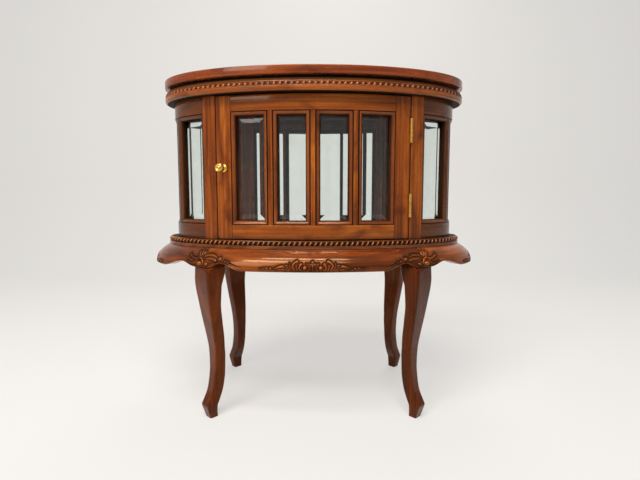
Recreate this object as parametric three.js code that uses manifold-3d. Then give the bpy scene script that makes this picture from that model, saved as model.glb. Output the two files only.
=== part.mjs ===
// Oval display table: a glazed oval case with a door, on an apron and four cabriole legs,
// under a loose oval top. Millimetres, +Z up, the front faces -Y, the origin is on the floor
// under the middle of the case.

import * as THREE from 'three';
import { mergeVertices } from 'three/addons/utils/BufferGeometryUtils.js';
import Module from 'manifold-3d';

const wasm = await Module();
wasm.setup();

// Oval of the case, measured on its outer face
const CASE_HALF_LENGTH = 327;
const CASE_HALF_DEPTH = 153.5;
const STATION_COUNT = 72;

// Heights, stacked from the floor
const LEG_HEIGHT = 370;
const BASE_HEIGHT = 17;
const CASE_HEIGHT = 303;
const CORNICE_HEIGHT = 27;
const SHADOW_HEIGHT = 5;
const TOP_THICKNESS = 18;

// Clearances and working allowances
const SEAT_GAP = 0.3;
const CUT_OVERRUN = 5;
const WELD_DEPTH = 1;
const MERGE_DISTANCE = 0.0001;
const TURN_TOLERANCE = 0.000001;

// Mouldings and top, reaching out from the case
const MOULDING_REACH = 19;
const CORNICE_WIDTH = 64;
const CORNICE_ROUND_WIDTH = 9;
const CORNICE_ROUND_HEIGHT = 9;
const CORNICE_COVE_WIDTH = 3;
const BASE_ROUND_WIDTH = 4;
const SHADOW_SETBACK = 13;
const RIM_WIDTH = 60;
const RIM_JOINT_X = 247;
const RIM_ARRIS_WIDTH = 2;
const SPIGOT_DEPTH = 6;
const SPIGOT_PLAY = 1;

// Apron
const APRON_THICKNESS = 24;
const APRON_SETBACK = 1;
const APRON_SWELL_REACH = 32;
const APRON_SWELL_DROP = 44;
const APRON_SWELL_POWER = 2.5;
const APRON_FRONT_DROP = 42.5;
const APRON_END_DROP = 42;
const APRON_ARCH_DROP = 29;
const APRON_KNEE_DROP = 38.5;
const APRON_ARRIS_WIDTH = 3;
const KNEE_SETBACK = 94;
const KNEE_LOBE_WIDTH = 28;
const FRONT_ARCH_SPAN = 39;
const FRONT_LOBE_SPAN = 87;
const END_ARCH_SPAN = 51;
const END_LOBE_SPAN = 102;
const APRON_ROWS = 6;
const APRON_STATIONS = 144;

// Legs: each curve lies in an upright plane turned outwards from the front
const LEG_OUTSET = 27.2;
const LEG_SHIFT = 4.8;
const LEG_TURN = Math.PI / 4;
const KNEE_WIDTH = 55;
const LEG_ARRIS_WIDTH = 2.5;
const LEG_SLICES = 22;
const LEG_BLOCK_SIZE = 44;
const LEG_BLOCK_HEIGHT = 30;
const LEG_BLOCK_SETBACK = 36;

// Leg form: height as a share of the leg, then front, back and width as shares of the knee
const LEG_SHARES = [
  [0, 0.227, -0.109, 0.364],
  [0.027, 0.282, -0.073, 0.418],
  [0.078, 0.39, -0.091, 0.49],
  [0.11, 0.29, -0.209, 0.464],
  [0.16, 0.136, -0.364, 0.418],
  [0.3, -0.011, -0.482, 0.445],
  [0.41, -0.009, -0.445, 0.545],
  [0.52, 0.109, -0.364, 0.673],
  [0.68, 0.298, -0.227, 0.855],
  [0.78, 0.39, -0.236, 0.98],
  [0.86, 0.396, -0.393, 1],
  [1, 0.382, -0.436, 0.98],
];

// Case frame
const FRAME_THICKNESS = 22;
const END_BAY_LENGTH = 90;
const POST_WIDTH = 29.5;
const REAR_POST_WIDTH = 72;
const RAIL_TOP_HEIGHT = 35;
const RAIL_BOTTOM_HEIGHT = 32;
const END_SETBACK = 1;
const END_RAIL_DEPTH = 37;
const END_MULLION_DEPTH = 24;
const END_REAR_MULLION_SHARE = 0.5;

// Door
const DOOR_GAP = 1.5;
const DOOR_FLOOR_GAP = 1.5;
const DOOR_HEAD_GAP = 2;
const STILE_WIDTH = 33;

// Glazing bars and bevelled panes
const MULLION_WIDTH = 12;
const MULLION_SETBACK = 1;
const BEAD_WIDTH = 7;
const BEAD_DEPTH = 9;
const PANE_INSET = 12.4;
const PANE_THICKNESS = 5.2;
const PANE_BITE_DEPTH = 6;
const BEVEL_WIDTH = 21;
const BEVEL_DEPTH = 3.8;
const BAR_WEB_WIDTH = 4;

// Hinges
const HINGE_LENGTH = 50.8;
const HINGE_SETBACK = 72.5;
const LEAF_THICKNESS = 1.2;
const LEAF_GAP = 0.3;
const LEAF_WIDTH = 15;
const KNUCKLE_RADIUS = 3;
const KNUCKLE_LIFT = 0.4;
const KNUCKLE_COUNT = 5;
const KNUCKLE_PLAY = 0.3;
const PIN_RADIUS = 1.4;
const PIN_PLAY = 0.1;
const KNUCKLE_SIDES = 16;

// Knob and catch
const KNOB_RADIUS = 10;
const KNOB_PROJECTION = 24;
const KNOB_SIDES = 24;
const CATCH_WIDTH = 20;
const CATCH_DEPTH = 12;
const CATCH_LENGTH = 46;

// Knob form: radius as a share of the knob's radius, place as a share of its projection
const KNOB_SHARES = [
  [0, 0],
  [0.72, 0],
  [0.78, 0.05],
  [0.66, 0.11],
  [0.4, 0.16],
  [0.36, 0.36],
  [0.5, 0.46],
  [0.92, 0.54],
  [1, 0.66],
  [0.94, 0.84],
  [0.7, 0.96],
  [0.42, 1],
  [0.3, 0.93],
  [0, 0.91],
];

// Levels worked out from the stack
const CASE_Z = LEG_HEIGHT + BASE_HEIGHT;
const CORNICE_Z = CASE_Z + CASE_HEIGHT;
const SHADOW_Z = CORNICE_Z + CORNICE_HEIGHT;
const TOP_Z = SHADOW_Z + SHADOW_HEIGHT;
const BOARD_Z = TOP_Z + TOP_THICKNESS;
const RAIL_TOP_Z = CORNICE_Z - RAIL_TOP_HEIGHT;
const RAIL_BOTTOM_Z = CASE_Z + RAIL_BOTTOM_HEIGHT;
const SIGHT_TOP_Z = RAIL_TOP_Z - BEAD_WIDTH;
const SIGHT_BOTTOM_Z = RAIL_BOTTOM_Z + BEAD_WIDTH;
const DOOR_LOW_Z = CASE_Z + DOOR_FLOOR_GAP;
const DOOR_HIGH_Z = CORNICE_Z - DOOR_HEAD_GAP;

// Places worked out from the sizes
const POST_OUTER_X = CASE_HALF_LENGTH - END_BAY_LENGTH;
const POST_INNER_X = POST_OUTER_X - POST_WIDTH;
const REAR_OPENING_X = POST_OUTER_X - REAR_POST_WIDTH;
const DOOR_HALF_WIDTH = POST_INNER_X - DOOR_GAP;
const STILE_INNER_X = DOOR_HALF_WIDTH - STILE_WIDTH;
const KNEE_X = CASE_HALF_LENGTH - KNEE_SETBACK;
const KNOB_X = DOOR_HALF_WIDTH - STILE_WIDTH / 2;
const KNOB_Z = (CASE_Z + CORNICE_Z) / 2;
const HINGE_LEVELS = [CORNICE_Z - HINGE_SETBACK, CASE_Z + HINGE_SETBACK];
const HINGE_X = DOOR_HALF_WIDTH + DOOR_GAP / 2;
const PIN_OUTSET = KNUCKLE_RADIUS + KNUCKLE_LIFT;
const PANE_MID = PANE_INSET + PANE_THICKNESS / 2;
const MULLION_HALF = MULLION_WIDTH / 2 + BEAD_WIDTH;
const APRON_OUTSET = MOULDING_REACH - APRON_SETBACK + APRON_SWELL_REACH;

// The outer mullion of four equal panes, so that all sights are as wide
const DOOR_MULLION_X = (STILE_INNER_X - BEAD_WIDTH + MULLION_HALF) / 2;
const REAR_MULLION_X = (REAR_OPENING_X - BEAD_WIDTH + MULLION_HALF) / 2;

const FULL_TURN = 2 * Math.PI;
const FRONT = -1;
const REAR = 1;

// Finishes

const MAHOGANY = { color: 0x7a3214, roughness: 0.28, metalness: 0 };
const DOOR_MAHOGANY = { color: 0x8f4a1e, roughness: 0.28, metalness: 0 };
const DARK_MAHOGANY = { color: 0x5a2410, roughness: 0.3, metalness: 0 };
const GLASS = { color: 0xdfe9e6, roughness: 0.05, metalness: 0, transparent: true, opacity: 0.35 };
const BRASS = { color: 0xd9a441, roughness: 0.25, metalness: 1 };
const STEEL = { color: 0x9a9a96, roughness: 0.35, metalness: 1 };

const table = new THREE.Group();

function addPiece(name, geometry, look) {
  const mesh = new THREE.Mesh(geometry, new THREE.MeshStandardMaterial(look));
  mesh.name = name;
  table.add(mesh);
  return mesh;
}

// The oval: a station is an angle on it, anticlockwise from +X. A place is a station with an
// outset along the normal and a shift along the tangent.

function ovalSpeed(angle) {
  return Math.hypot(CASE_HALF_LENGTH * Math.sin(angle), CASE_HALF_DEPTH * Math.cos(angle));
}

function ovalNormal(angle) {
  const across = CASE_HALF_DEPTH * Math.cos(angle);
  const along = CASE_HALF_LENGTH * Math.sin(angle);
  return new THREE.Vector2(across, along).normalize();
}

function ovalPlace(angle, outset, shift = 0) {
  const normal = ovalNormal(angle);
  const tangent = new THREE.Vector2(-normal.y, normal.x);
  const x = CASE_HALF_LENGTH * Math.cos(angle);
  const y = CASE_HALF_DEPTH * Math.sin(angle);
  return new THREE.Vector2(x, y).addScaledVector(normal, outset).addScaledVector(tangent, shift);
}

// The station of a given X on the case's face, at the front or the rear
function stationAtX(x, side) {
  return side * Math.acos(x / CASE_HALF_LENGTH);
}

// The station that lies a distance along the case's face from another
function stationBeside(angle, distance) {
  return angle + distance / ovalSpeed(angle);
}

// The share of a quarter turn, from a long side's middle to an end's tip
function quarterShare(angle) {
  return Math.asin(Math.min(1, Math.abs(Math.cos(angle)))) / (FULL_TURN / 4);
}

// The turn at which a growing measure is no longer short, found by halving
function turnByHalving(limit, isShort) {
  let low = 0;
  let high = limit;
  while (high - low > TURN_TOLERANCE) {
    const middle = (low + high) / 2;
    if (isShort(middle)) {
      low = middle;
    } else {
      high = middle;
    }
  }
  return low;
}

// The quarter share at which an outset face reaches a given X
function shareAtReach(x, outset) {
  const quarter = FULL_TURN / 4;
  const turn = turnByHalving(quarter, (angle) => ovalPlace(quarter - angle, outset).x < x);
  return turn / quarter;
}

function stationsBetween(from, to, count) {
  const step = FULL_TURN / count;
  const spare = step / count;
  const stations = [from];
  for (let index = Math.floor(from / step) + 1; index * step < to - spare; index += 1) {
    if (index * step > from + spare) {
      stations.push(index * step);
    }
  }
  stations.push(to);
  return stations;
}

// Solids

function meshGeometry(positions, triangles) {
  const geometry = new THREE.BufferGeometry();
  geometry.setAttribute('position', new THREE.Float32BufferAttribute(positions, 3));
  geometry.setIndex(triangles);
  geometry.computeVertexNormals();
  return geometry;
}

function toSolid(geometry) {
  const bare = geometry.clone();
  bare.deleteAttribute('normal');
  bare.deleteAttribute('uv');
  const welded = mergeVertices(bare, MERGE_DISTANCE);
  const vertProperties = new Float32Array(welded.attributes.position.array);
  const triVerts = new Uint32Array(welded.index.array);
  return new wasm.Manifold(new wasm.Mesh({ numProp: 3, vertProperties, triVerts }));
}

function toGeometry(solid) {
  const mesh = solid.getMesh();
  return meshGeometry(Array.from(mesh.vertProperties), Array.from(mesh.triVerts));
}

function cutFrom(geometry, cutters) {
  let solid = toSolid(geometry);
  for (const cutter of cutters) {
    solid = solid.subtract(toSolid(cutter));
  }
  return toGeometry(solid);
}

function joinAll(geometries) {
  let solid = toSolid(geometries[0]);
  for (const other of geometries.slice(1)) {
    solid = solid.add(toSolid(other));
  }
  return toGeometry(solid);
}

// A profile of [outset, z] pairs, anticlockwise, carried along the oval. profileAt gives the
// profile of each station, and a full turn closes on itself.
function sweepAlongOval(profileAt, from, to, count = STATION_COUNT) {
  const closed = from + FULL_TURN === to;
  const stations = stationsBetween(from, to, count);
  if (closed) {
    stations.pop();
  }
  const positions = [];
  for (const angle of stations) {
    for (const [outset, z] of profileAt(angle)) {
      const place = ovalPlace(angle, outset);
      positions.push(place.x, place.y, z);
    }
  }
  const size = profileAt(from).length;
  const triangles = [];
  const spans = closed ? stations.length : stations.length - 1;
  for (let span = 0; span < spans; span += 1) {
    const near = span * size;
    const far = ((span + 1) % stations.length) * size;
    for (let index = 0; index < size; index += 1) {
      const next = (index + 1) % size;
      triangles.push(near + index, far + index, far + next);
      triangles.push(near + index, far + next, near + next);
    }
  }
  if (!closed) {
    const last = (stations.length - 1) * size;
    for (const [first, second, third] of capFaces(profileAt(from))) {
      triangles.push(first, second, third);
    }
    for (const [first, second, third] of capFaces(profileAt(to))) {
      triangles.push(last + first, last + third, last + second);
    }
  }
  return meshGeometry(positions, triangles);
}

function capFaces(profile) {
  const points = profile.map(([outset, z]) => new THREE.Vector2(outset, z));
  return THREE.ShapeUtils.triangulateShape(points, []);
}

function boxProfile(inner, outer, low, high) {
  return [[outer, low], [outer, high], [inner, high], [inner, low]];
}

function sweepProfile(profile, from, to) {
  return sweepAlongOval(() => profile, from, to);
}

// A plan outline raised from one level to another
function raiseOutline(points, low, high) {
  const settings = { depth: high - low, bevelEnabled: false };
  const geometry = new THREE.ExtrudeGeometry(new THREE.Shape(points), settings);
  geometry.translate(0, 0, low);
  return geometry;
}

function ovalSlab(outset, low, high) {
  const stations = stationsBetween(0, FULL_TURN, STATION_COUNT).slice(0, -1);
  return raiseOutline(stations.map((angle) => ovalPlace(angle, outset)), low, high);
}

// An upright piece at one station, its outline in [shift, outset] pairs
function uprightAt(angle, outline, low, high) {
  const points = outline.map(([shift, outset]) => ovalPlace(angle, outset, shift));
  return raiseOutline(points, low, high);
}

function uprightBox(angle, shifts, outsets, low, high) {
  const [left, right] = shifts;
  const [inner, outer] = outsets;
  const outline = [[left, inner], [right, inner], [right, outer], [left, outer]];
  return uprightAt(angle, outline, low, high);
}

// Top: four rim pieces round a stepped panel whose lower step is set back as a shadow line

function addTop() {
  const rimOuter = MOULDING_REACH;
  const rimInner = rimOuter - RIM_WIDTH;
  const spigotOutset = MOULDING_REACH - CORNICE_WIDTH - SPIGOT_PLAY;
  addPiece('top_panel', joinAll([
    ovalSlab(rimInner - SEAT_GAP, SHADOW_Z + WELD_DEPTH, BOARD_Z),
    ovalSlab(rimOuter - SHADOW_SETBACK, SHADOW_Z, TOP_Z),
    ovalSlab(spigotOutset, SHADOW_Z - SPIGOT_DEPTH, SHADOW_Z + WELD_DEPTH),
  ]), DARK_MAHOGANY);

  const profile = [
    [rimInner, TOP_Z],
    [rimOuter - RIM_ARRIS_WIDTH, TOP_Z],
    [rimOuter, TOP_Z + RIM_ARRIS_WIDTH],
    [rimOuter, BOARD_Z - RIM_ARRIS_WIDTH],
    [rimOuter - RIM_ARRIS_WIDTH, BOARD_Z],
    [rimInner, BOARD_Z],
  ];
  const turn = shareAtReach(RIM_JOINT_X, rimOuter) * FULL_TURN / 4;
  const quarter = FULL_TURN / 4;
  const joints = [-quarter - turn, -quarter + turn, quarter - turn, quarter + turn];
  joints.push(joints[0] + FULL_TURN);
  const names = ['top_rim_front', 'top_rim_right', 'top_rim_back', 'top_rim_left'];
  names.forEach((name, index) => {
    const from = stationBeside(joints[index], SEAT_GAP / 2);
    const to = stationBeside(joints[index + 1], -SEAT_GAP / 2);
    addPiece(name, sweepProfile(profile, from, to), MAHOGANY);
  });
}

// Mouldings above and below the case

function addCornice() {
  const outer = MOULDING_REACH;
  const inner = outer - CORNICE_WIDTH;
  const shoulder = SHADOW_Z - CORNICE_ROUND_HEIGHT;
  const profile = [
    [inner, CORNICE_Z],
    [outer - CORNICE_COVE_WIDTH, CORNICE_Z],
    [outer, CORNICE_Z + CORNICE_COVE_WIDTH],
    [outer, shoulder],
    [outer - CORNICE_ROUND_WIDTH / 3, shoulder + CORNICE_ROUND_HEIGHT * 2 / 3],
    [outer - CORNICE_ROUND_WIDTH, SHADOW_Z],
    [inner, SHADOW_Z],
  ];
  addPiece('cornice', sweepProfile(profile, 0, FULL_TURN), MAHOGANY);
}

function addBaseBoard() {
  const middle = (LEG_HEIGHT + CASE_Z) / 2;
  addPiece('base_board', joinAll([
    ovalSlab(MOULDING_REACH, LEG_HEIGHT, middle + BASE_HEIGHT / 4),
    ovalSlab(MOULDING_REACH - BASE_ROUND_WIDTH, middle, CASE_Z),
  ]), MAHOGANY);
}

// Apron: swelling pieces between the knees, with a serpentine lower edge

const APRON_EDGE = [
  [shareAtReach(0, APRON_OUTSET), APRON_FRONT_DROP],
  [shareAtReach(KNEE_X - FRONT_LOBE_SPAN, APRON_OUTSET), APRON_FRONT_DROP],
  [shareAtReach(KNEE_X - FRONT_ARCH_SPAN, APRON_OUTSET), APRON_ARCH_DROP],
  [shareAtReach(KNEE_X - KNEE_LOBE_WIDTH / 2, APRON_OUTSET), APRON_KNEE_DROP],
  [shareAtReach(KNEE_X + KNEE_LOBE_WIDTH / 2, APRON_OUTSET), APRON_KNEE_DROP],
  [shareAtReach(KNEE_X + END_ARCH_SPAN, APRON_OUTSET), APRON_ARCH_DROP],
  [shareAtReach(KNEE_X + END_LOBE_SPAN, APRON_OUTSET), APRON_END_DROP],
  [1, APRON_END_DROP],
];

function apronDrop(angle) {
  const share = quarterShare(angle);
  let index = 1;
  while (index < APRON_EDGE.length - 1 && APRON_EDGE[index][0] < share) {
    index += 1;
  }
  const [before, dropBefore] = APRON_EDGE[index - 1];
  const [after, dropAfter] = APRON_EDGE[index];
  const eased = THREE.MathUtils.smoothstep(share, before, after);
  return THREE.MathUtils.lerp(dropBefore, dropAfter, eased);
}

function apronReach(drop) {
  const rest = Math.max(1 - drop / APRON_SWELL_DROP, 0);
  const swell = APRON_SWELL_REACH * (1 - rest ** APRON_SWELL_POWER);
  return MOULDING_REACH - APRON_SETBACK + swell;
}

function apronProfile(angle) {
  const full = apronDrop(angle);
  const profile = [[apronReach(full) - APRON_ARRIS_WIDTH, LEG_HEIGHT - full]];
  for (let row = 0; row < APRON_ROWS; row += 1) {
    const drop = (full - APRON_ARRIS_WIDTH) * (1 - row / (APRON_ROWS - 1));
    profile.push([apronReach(drop), LEG_HEIGHT - drop]);
  }
  for (const drop of [0, full / 2, full]) {
    profile.push([apronReach(drop) - APRON_THICKNESS, LEG_HEIGHT - drop]);
  }
  return profile;
}

// The space that the apron and everything outside it takes from a leg
function apronCutProfile(angle) {
  const full = apronDrop(angle) + 2 * SEAT_GAP;
  const far = APRON_OUTSET + KNEE_WIDTH;
  const high = LEG_HEIGHT + CUT_OVERRUN;
  const profile = [[far, LEG_HEIGHT - full], [far, high]];
  for (const drop of [-CUT_OVERRUN, full / 2, full]) {
    profile.push([apronReach(drop) - APRON_THICKNESS - SEAT_GAP, LEG_HEIGHT - drop]);
  }
  return profile;
}

const KNEE_TURN = shareAtReach(KNEE_X, APRON_OUTSET) * FULL_TURN / 4;

function apronRuns() {
  const quarter = FULL_TURN / 4;
  const knees = [-quarter - KNEE_TURN, -quarter + KNEE_TURN];
  knees.push(quarter - KNEE_TURN, quarter + KNEE_TURN, knees[0] + FULL_TURN);
  const names = ['apron_front', 'apron_right', 'apron_back', 'apron_left'];
  return names.map((name, index) => ({ name, from: knees[index], to: knees[index + 1] }));
}

function addAprons() {
  for (const { name, from, to } of apronRuns()) {
    const start = stationBeside(from, SEAT_GAP / 2);
    const end = stationBeside(to, -SEAT_GAP / 2);
    addPiece(name, sweepAlongOval(apronProfile, start, end, APRON_STATIONS), MAHOGANY);
  }
}

// Legs

function legCurves() {
  const heights = [];
  const forms = [];
  for (const [height, front, back, width] of LEG_SHARES) {
    heights.push(new THREE.Vector3(height * LEG_HEIGHT, 0, 0));
    const form = new THREE.Vector3(front, back, width);
    forms.push(form.multiplyScalar(KNEE_WIDTH));
  }
  return {
    rise: new THREE.CatmullRomCurve3(heights, false, 'catmullrom'),
    form: new THREE.CatmullRomCurve3(forms, false, 'catmullrom'),
  };
}

// One section in the leg's own frame: x along the curve's plane, y across it
function legSection(front, back, width) {
  const side = width / 2;
  const cut = LEG_ARRIS_WIDTH;
  return [
    [front - cut, side],
    [back + cut, side],
    [back, side - cut],
    [back, -side + cut],
    [back + cut, -side],
    [front - cut, -side],
    [front, -side + cut],
    [front, side - cut],
  ];
}

function legGeometry() {
  const { rise, form } = legCurves();
  const positions = [];
  const triangles = [];
  const size = legSection(0, 0, 0).length;
  for (let slice = 0; slice <= LEG_SLICES; slice += 1) {
    const share = slice / LEG_SLICES;
    const { x: front, y: back, z: width } = form.getPoint(share);
    for (const [along, across] of legSection(front, back, width)) {
      positions.push(along, across, rise.getPoint(share).x);
    }
  }
  for (let slice = 0; slice < LEG_SLICES; slice += 1) {
    for (let index = 0; index < size; index += 1) {
      const next = (index + 1) % size;
      const low = slice * size;
      const high = low + size;
      triangles.push(low + index, low + next, high + next);
      triangles.push(low + index, high + next, high + index);
    }
  }
  const top = LEG_SLICES * size;
  for (let index = 1; index < size - 1; index += 1) {
    triangles.push(0, index + 1, index);
    triangles.push(top, top + index, top + index + 1);
  }
  return meshGeometry(positions, triangles);
}

function legBlock() {
  const block = new THREE.BoxGeometry(LEG_BLOCK_SIZE, LEG_BLOCK_SIZE, LEG_BLOCK_HEIGHT);
  block.translate(-LEG_BLOCK_SETBACK, 0, LEG_HEIGHT - LEG_BLOCK_HEIGHT / 2);
  return block;
}

function addLegs() {
  const cutters = apronRuns().map(({ from, to }) => {
    const start = stationBeside(from, -SEAT_GAP);
    const end = stationBeside(to, SEAT_GAP);
    return sweepAlongOval(apronCutProfile, start, end, APRON_STATIONS);
  });
  const blank = joinAll([legGeometry(), legBlock()]);
  const corners = [
    ['leg_front_right', 1, FRONT, -LEG_TURN],
    ['leg_back_right', 1, REAR, LEG_TURN],
    ['leg_back_left', -1, REAR, FULL_TURN / 2 - LEG_TURN],
    ['leg_front_left', -1, FRONT, LEG_TURN - FULL_TURN / 2],
  ];
  for (const [name, end, side, turn] of corners) {
    const leg = blank.clone();
    leg.rotateZ(turn);
    const place = ovalPlace(FULL_TURN / 4 - KNEE_TURN, LEG_OUTSET, LEG_SHIFT);
    leg.translate(end * place.x, side * place.y, 0);
    addPiece(name, cutFrom(leg, cutters), MAHOGANY);
  }
}

// Glazing

// A flat pane with a bevel round its outer face
function bevelledPane(width, height) {
  const back = PANE_THICKNESS / 2;
  const loops = [
    [width / 2, height / 2, back],
    [width / 2, height / 2, BEVEL_DEPTH - back],
    [width / 2 - BEVEL_WIDTH, height / 2 - BEVEL_WIDTH, -back],
  ];
  const positions = [];
  for (const [x, z, y] of loops) {
    positions.push(-x, y, -z, x, y, -z, x, y, z, -x, y, z);
  }
  const corners = 4;
  const triangles = [0, 3, 2, 0, 2, 1, 8, 9, 10, 8, 10, 11];
  for (let loop = 0; loop < loops.length - 1; loop += 1) {
    for (let index = 0; index < corners; index += 1) {
      const low = loop * corners;
      const next = (index + 1) % corners;
      triangles.push(low + index, low + next, low + corners + next);
      triangles.push(low + index, low + corners + next, low + corners + index);
    }
  }
  return meshGeometry(positions, triangles);
}

// The place of a pane between two plan points on its middle plane
function paneSpan(start, end) {
  const along = end.clone().sub(start);
  return {
    width: along.length(),
    height: SIGHT_TOP_Z - SIGHT_BOTTOM_Z + 2 * PANE_BITE_DEPTH,
    turn: along.angle(),
    x: (start.x + end.x) / 2,
    y: (start.y + end.y) / 2,
    z: (SIGHT_TOP_Z + SIGHT_BOTTOM_Z) / 2,
  };
}

function addPane(name, span) {
  const mesh = addPiece(name, bevelledPane(span.width, span.height), GLASS);
  mesh.rotation.z = span.turn;
  mesh.position.set(span.x, span.y, span.z);
}

function panePocket(span) {
  const spare = 2 * SEAT_GAP;
  const depth = PANE_THICKNESS + spare;
  const pocket = new THREE.BoxGeometry(span.width + spare, depth, span.height + spare);
  pocket.rotateZ(span.turn);
  pocket.translate(span.x, span.y, span.z);
  return pocket;
}

// Frame pieces

function railProfile(face, depth, sightZ, faceZ, farZ) {
  const profile = [
    [face, farZ],
    [-depth, farZ],
    [-depth, sightZ],
    [face - BEAD_DEPTH, sightZ],
    [face, faceZ],
  ];
  return farZ > faceZ ? profile : profile.reverse();
}

function mullionOutline(face, depth) {
  return [
    [-MULLION_HALF, -depth],
    [-MULLION_HALF, face - BEAD_DEPTH],
    [-MULLION_WIDTH / 2, face - MULLION_SETBACK],
    [MULLION_WIDTH / 2, face - MULLION_SETBACK],
    [MULLION_HALF, face - BEAD_DEPTH],
    [MULLION_HALF, -depth],
  ];
}

// A bead standing beside a plank's edge, its root reaching into the plank
function beadBeside(root, side) {
  const edge = stationBeside(root, side * BEAD_WIDTH);
  const into = -side * WELD_DEPTH;
  const points = [
    ovalPlace(edge, -BEAD_DEPTH),
    ovalPlace(root, -WELD_DEPTH),
    ovalPlace(root, -WELD_DEPTH, into),
    ovalPlace(root, WELD_DEPTH - FRAME_THICKNESS, into),
    ovalPlace(root, WELD_DEPTH - FRAME_THICKNESS),
    ovalPlace(edge, WELD_DEPTH - FRAME_THICKNESS),
  ];
  return raiseOutline(points, SIGHT_BOTTOM_Z + SEAT_GAP, SIGHT_TOP_Z - SEAT_GAP);
}

// An upright plank along the oval, with a glazing bead on the edges named in beads
function addPlank(name, from, to, beads, low, high, cutters, look) {
  const plank = sweepProfile(boxProfile(-FRAME_THICKNESS, 0, low, high), from, to);
  const parts = [plank];
  if (beads.includes('from')) {
    parts.push(beadBeside(from, -1));
  }
  if (beads.includes('to')) {
    parts.push(beadBeside(to, 1));
  }
  return addPiece(name, cutFrom(joinAll(parts), cutters), look);
}

// One glazed bay: two rails, the mullions between them and a pane in each opening
function glazedBay(bay) {
  const stations = [bay.from, ...bay.mullions, bay.to];
  const edgeIn = BEAD_WIDTH - PANE_BITE_DEPTH;
  const spans = [];
  for (let index = 0; index < stations.length - 1; index += 1) {
    const isFirst = index === 0;
    const isLast = index === stations.length - 2;
    const start = isFirst
      ? ovalPlace(stationBeside(bay.from, edgeIn), -PANE_MID)
      : ovalPlace(stations[index], -PANE_MID, BAR_WEB_WIDTH);
    const end = isLast
      ? ovalPlace(stationBeside(bay.to, -edgeIn), -PANE_MID)
      : ovalPlace(stations[index + 1], -PANE_MID, -BAR_WEB_WIDTH);
    spans.push(paneSpan(start, end));
  }
  return { ...bay, spans, pockets: spans.map(panePocket) };
}

function addBay(bay) {
  const from = stationBeside(bay.from, SEAT_GAP);
  const to = stationBeside(bay.to, -SEAT_GAP);
  const top = railProfile(bay.face, bay.railDepth, SIGHT_TOP_Z, RAIL_TOP_Z, bay.high);
  const bottom = railProfile(bay.face, bay.railDepth, SIGHT_BOTTOM_Z, RAIL_BOTTOM_Z, bay.low);
  addPiece(`${bay.name}_rail_top`, cutFrom(sweepProfile(top, from, to), bay.pockets), bay.look);
  addPiece(
    `${bay.name}_rail_bottom`,
    cutFrom(sweepProfile(bottom, from, to), bay.pockets),
    bay.look,
  );
  const outline = mullionOutline(bay.face, bay.barDepth);
  const low = SIGHT_BOTTOM_Z + SEAT_GAP;
  const high = SIGHT_TOP_Z - SEAT_GAP;
  bay.mullions.forEach((angle, index) => {
    const bar = uprightAt(angle, outline, low, high);
    const cutters = [bay.pockets[index], bay.pockets[index + 1]];
    addPiece(`${bay.name}_mullion_${index + 1}`, cutFrom(bar, cutters), bay.look);
  });
  bay.spans.forEach((span, index) => addPane(`${bay.name}_pane_${index + 1}`, span));
}

// An end's front mullion makes two equal sights when the rear one mirrors it
function endMullionStation() {
  const limit = stationAtX(POST_OUTER_X, REAR);
  const edge = ovalPlace(limit, 0);
  return turnByHalving(limit, (angle) => {
    const bar = ovalPlace(angle, 0);
    const sideSight = bar.distanceTo(edge) - BEAD_WIDTH - MULLION_HALF;
    return 2 * (bar.y - MULLION_HALF) < sideSight;
  });
}

const END_MULLION_STATION = endMullionStation();
const END_REAR_MULLION_STATION = END_MULLION_STATION * END_REAR_MULLION_SHARE;
const fixedFrame = { low: CASE_Z, high: CORNICE_Z, look: DARK_MAHOGANY };
const straightFrame = { face: 0, railDepth: FRAME_THICKNESS, barDepth: FRAME_THICKNESS };
const endFrame = {
  face: -END_SETBACK,
  railDepth: END_RAIL_DEPTH,
  barDepth: END_MULLION_DEPTH,
};

const doorBay = glazedBay({
  name: 'door',
  ...straightFrame,
  low: DOOR_LOW_Z,
  high: DOOR_HIGH_Z,
  look: DOOR_MAHOGANY,
  from: stationAtX(-STILE_INNER_X, FRONT),
  to: stationAtX(STILE_INNER_X, FRONT),
  mullions: [-DOOR_MULLION_X, 0, DOOR_MULLION_X].map((x) => stationAtX(x, FRONT)),
});

const rearBay = glazedBay({
  name: 'rear',
  ...straightFrame,
  ...fixedFrame,
  from: stationAtX(REAR_OPENING_X, REAR),
  to: stationAtX(-REAR_OPENING_X, REAR),
  mullions: [REAR_MULLION_X, 0, -REAR_MULLION_X].map((x) => stationAtX(x, REAR)),
});

const rightBay = glazedBay({
  name: 'right',
  ...endFrame,
  ...fixedFrame,
  from: stationAtX(POST_OUTER_X, FRONT),
  to: stationAtX(POST_OUTER_X, REAR),
  mullions: [-END_MULLION_STATION, END_REAR_MULLION_STATION],
});

const leftBay = glazedBay({
  name: 'left',
  ...endFrame,
  ...fixedFrame,
  from: stationAtX(-POST_OUTER_X, REAR),
  to: stationAtX(-POST_OUTER_X, FRONT) + FULL_TURN,
  mullions: [
    FULL_TURN / 2 - END_REAR_MULLION_STATION,
    FULL_TURN / 2 + END_MULLION_STATION,
  ],
});

// Hinges: a leaf in each edge of the gap, their knuckles round one pin outside the face

const HINGE_STATION = stationAtX(HINGE_X, FRONT);

function pinCylinder(radius, low, high) {
  const place = ovalPlace(HINGE_STATION, PIN_OUTSET);
  const cylinder = new THREE.CylinderGeometry(radius, radius, high - low, KNUCKLE_SIDES);
  cylinder.rotateX(FULL_TURN / 4);
  cylinder.translate(place.x, place.y, (low + high) / 2);
  return cylinder;
}

function leafShifts(side, spare) {
  const near = side * (LEAF_GAP / 2 - spare);
  const far = side * (LEAF_GAP / 2 + LEAF_THICKNESS + spare);
  return [Math.min(near, far), Math.max(near, far)];
}

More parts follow.
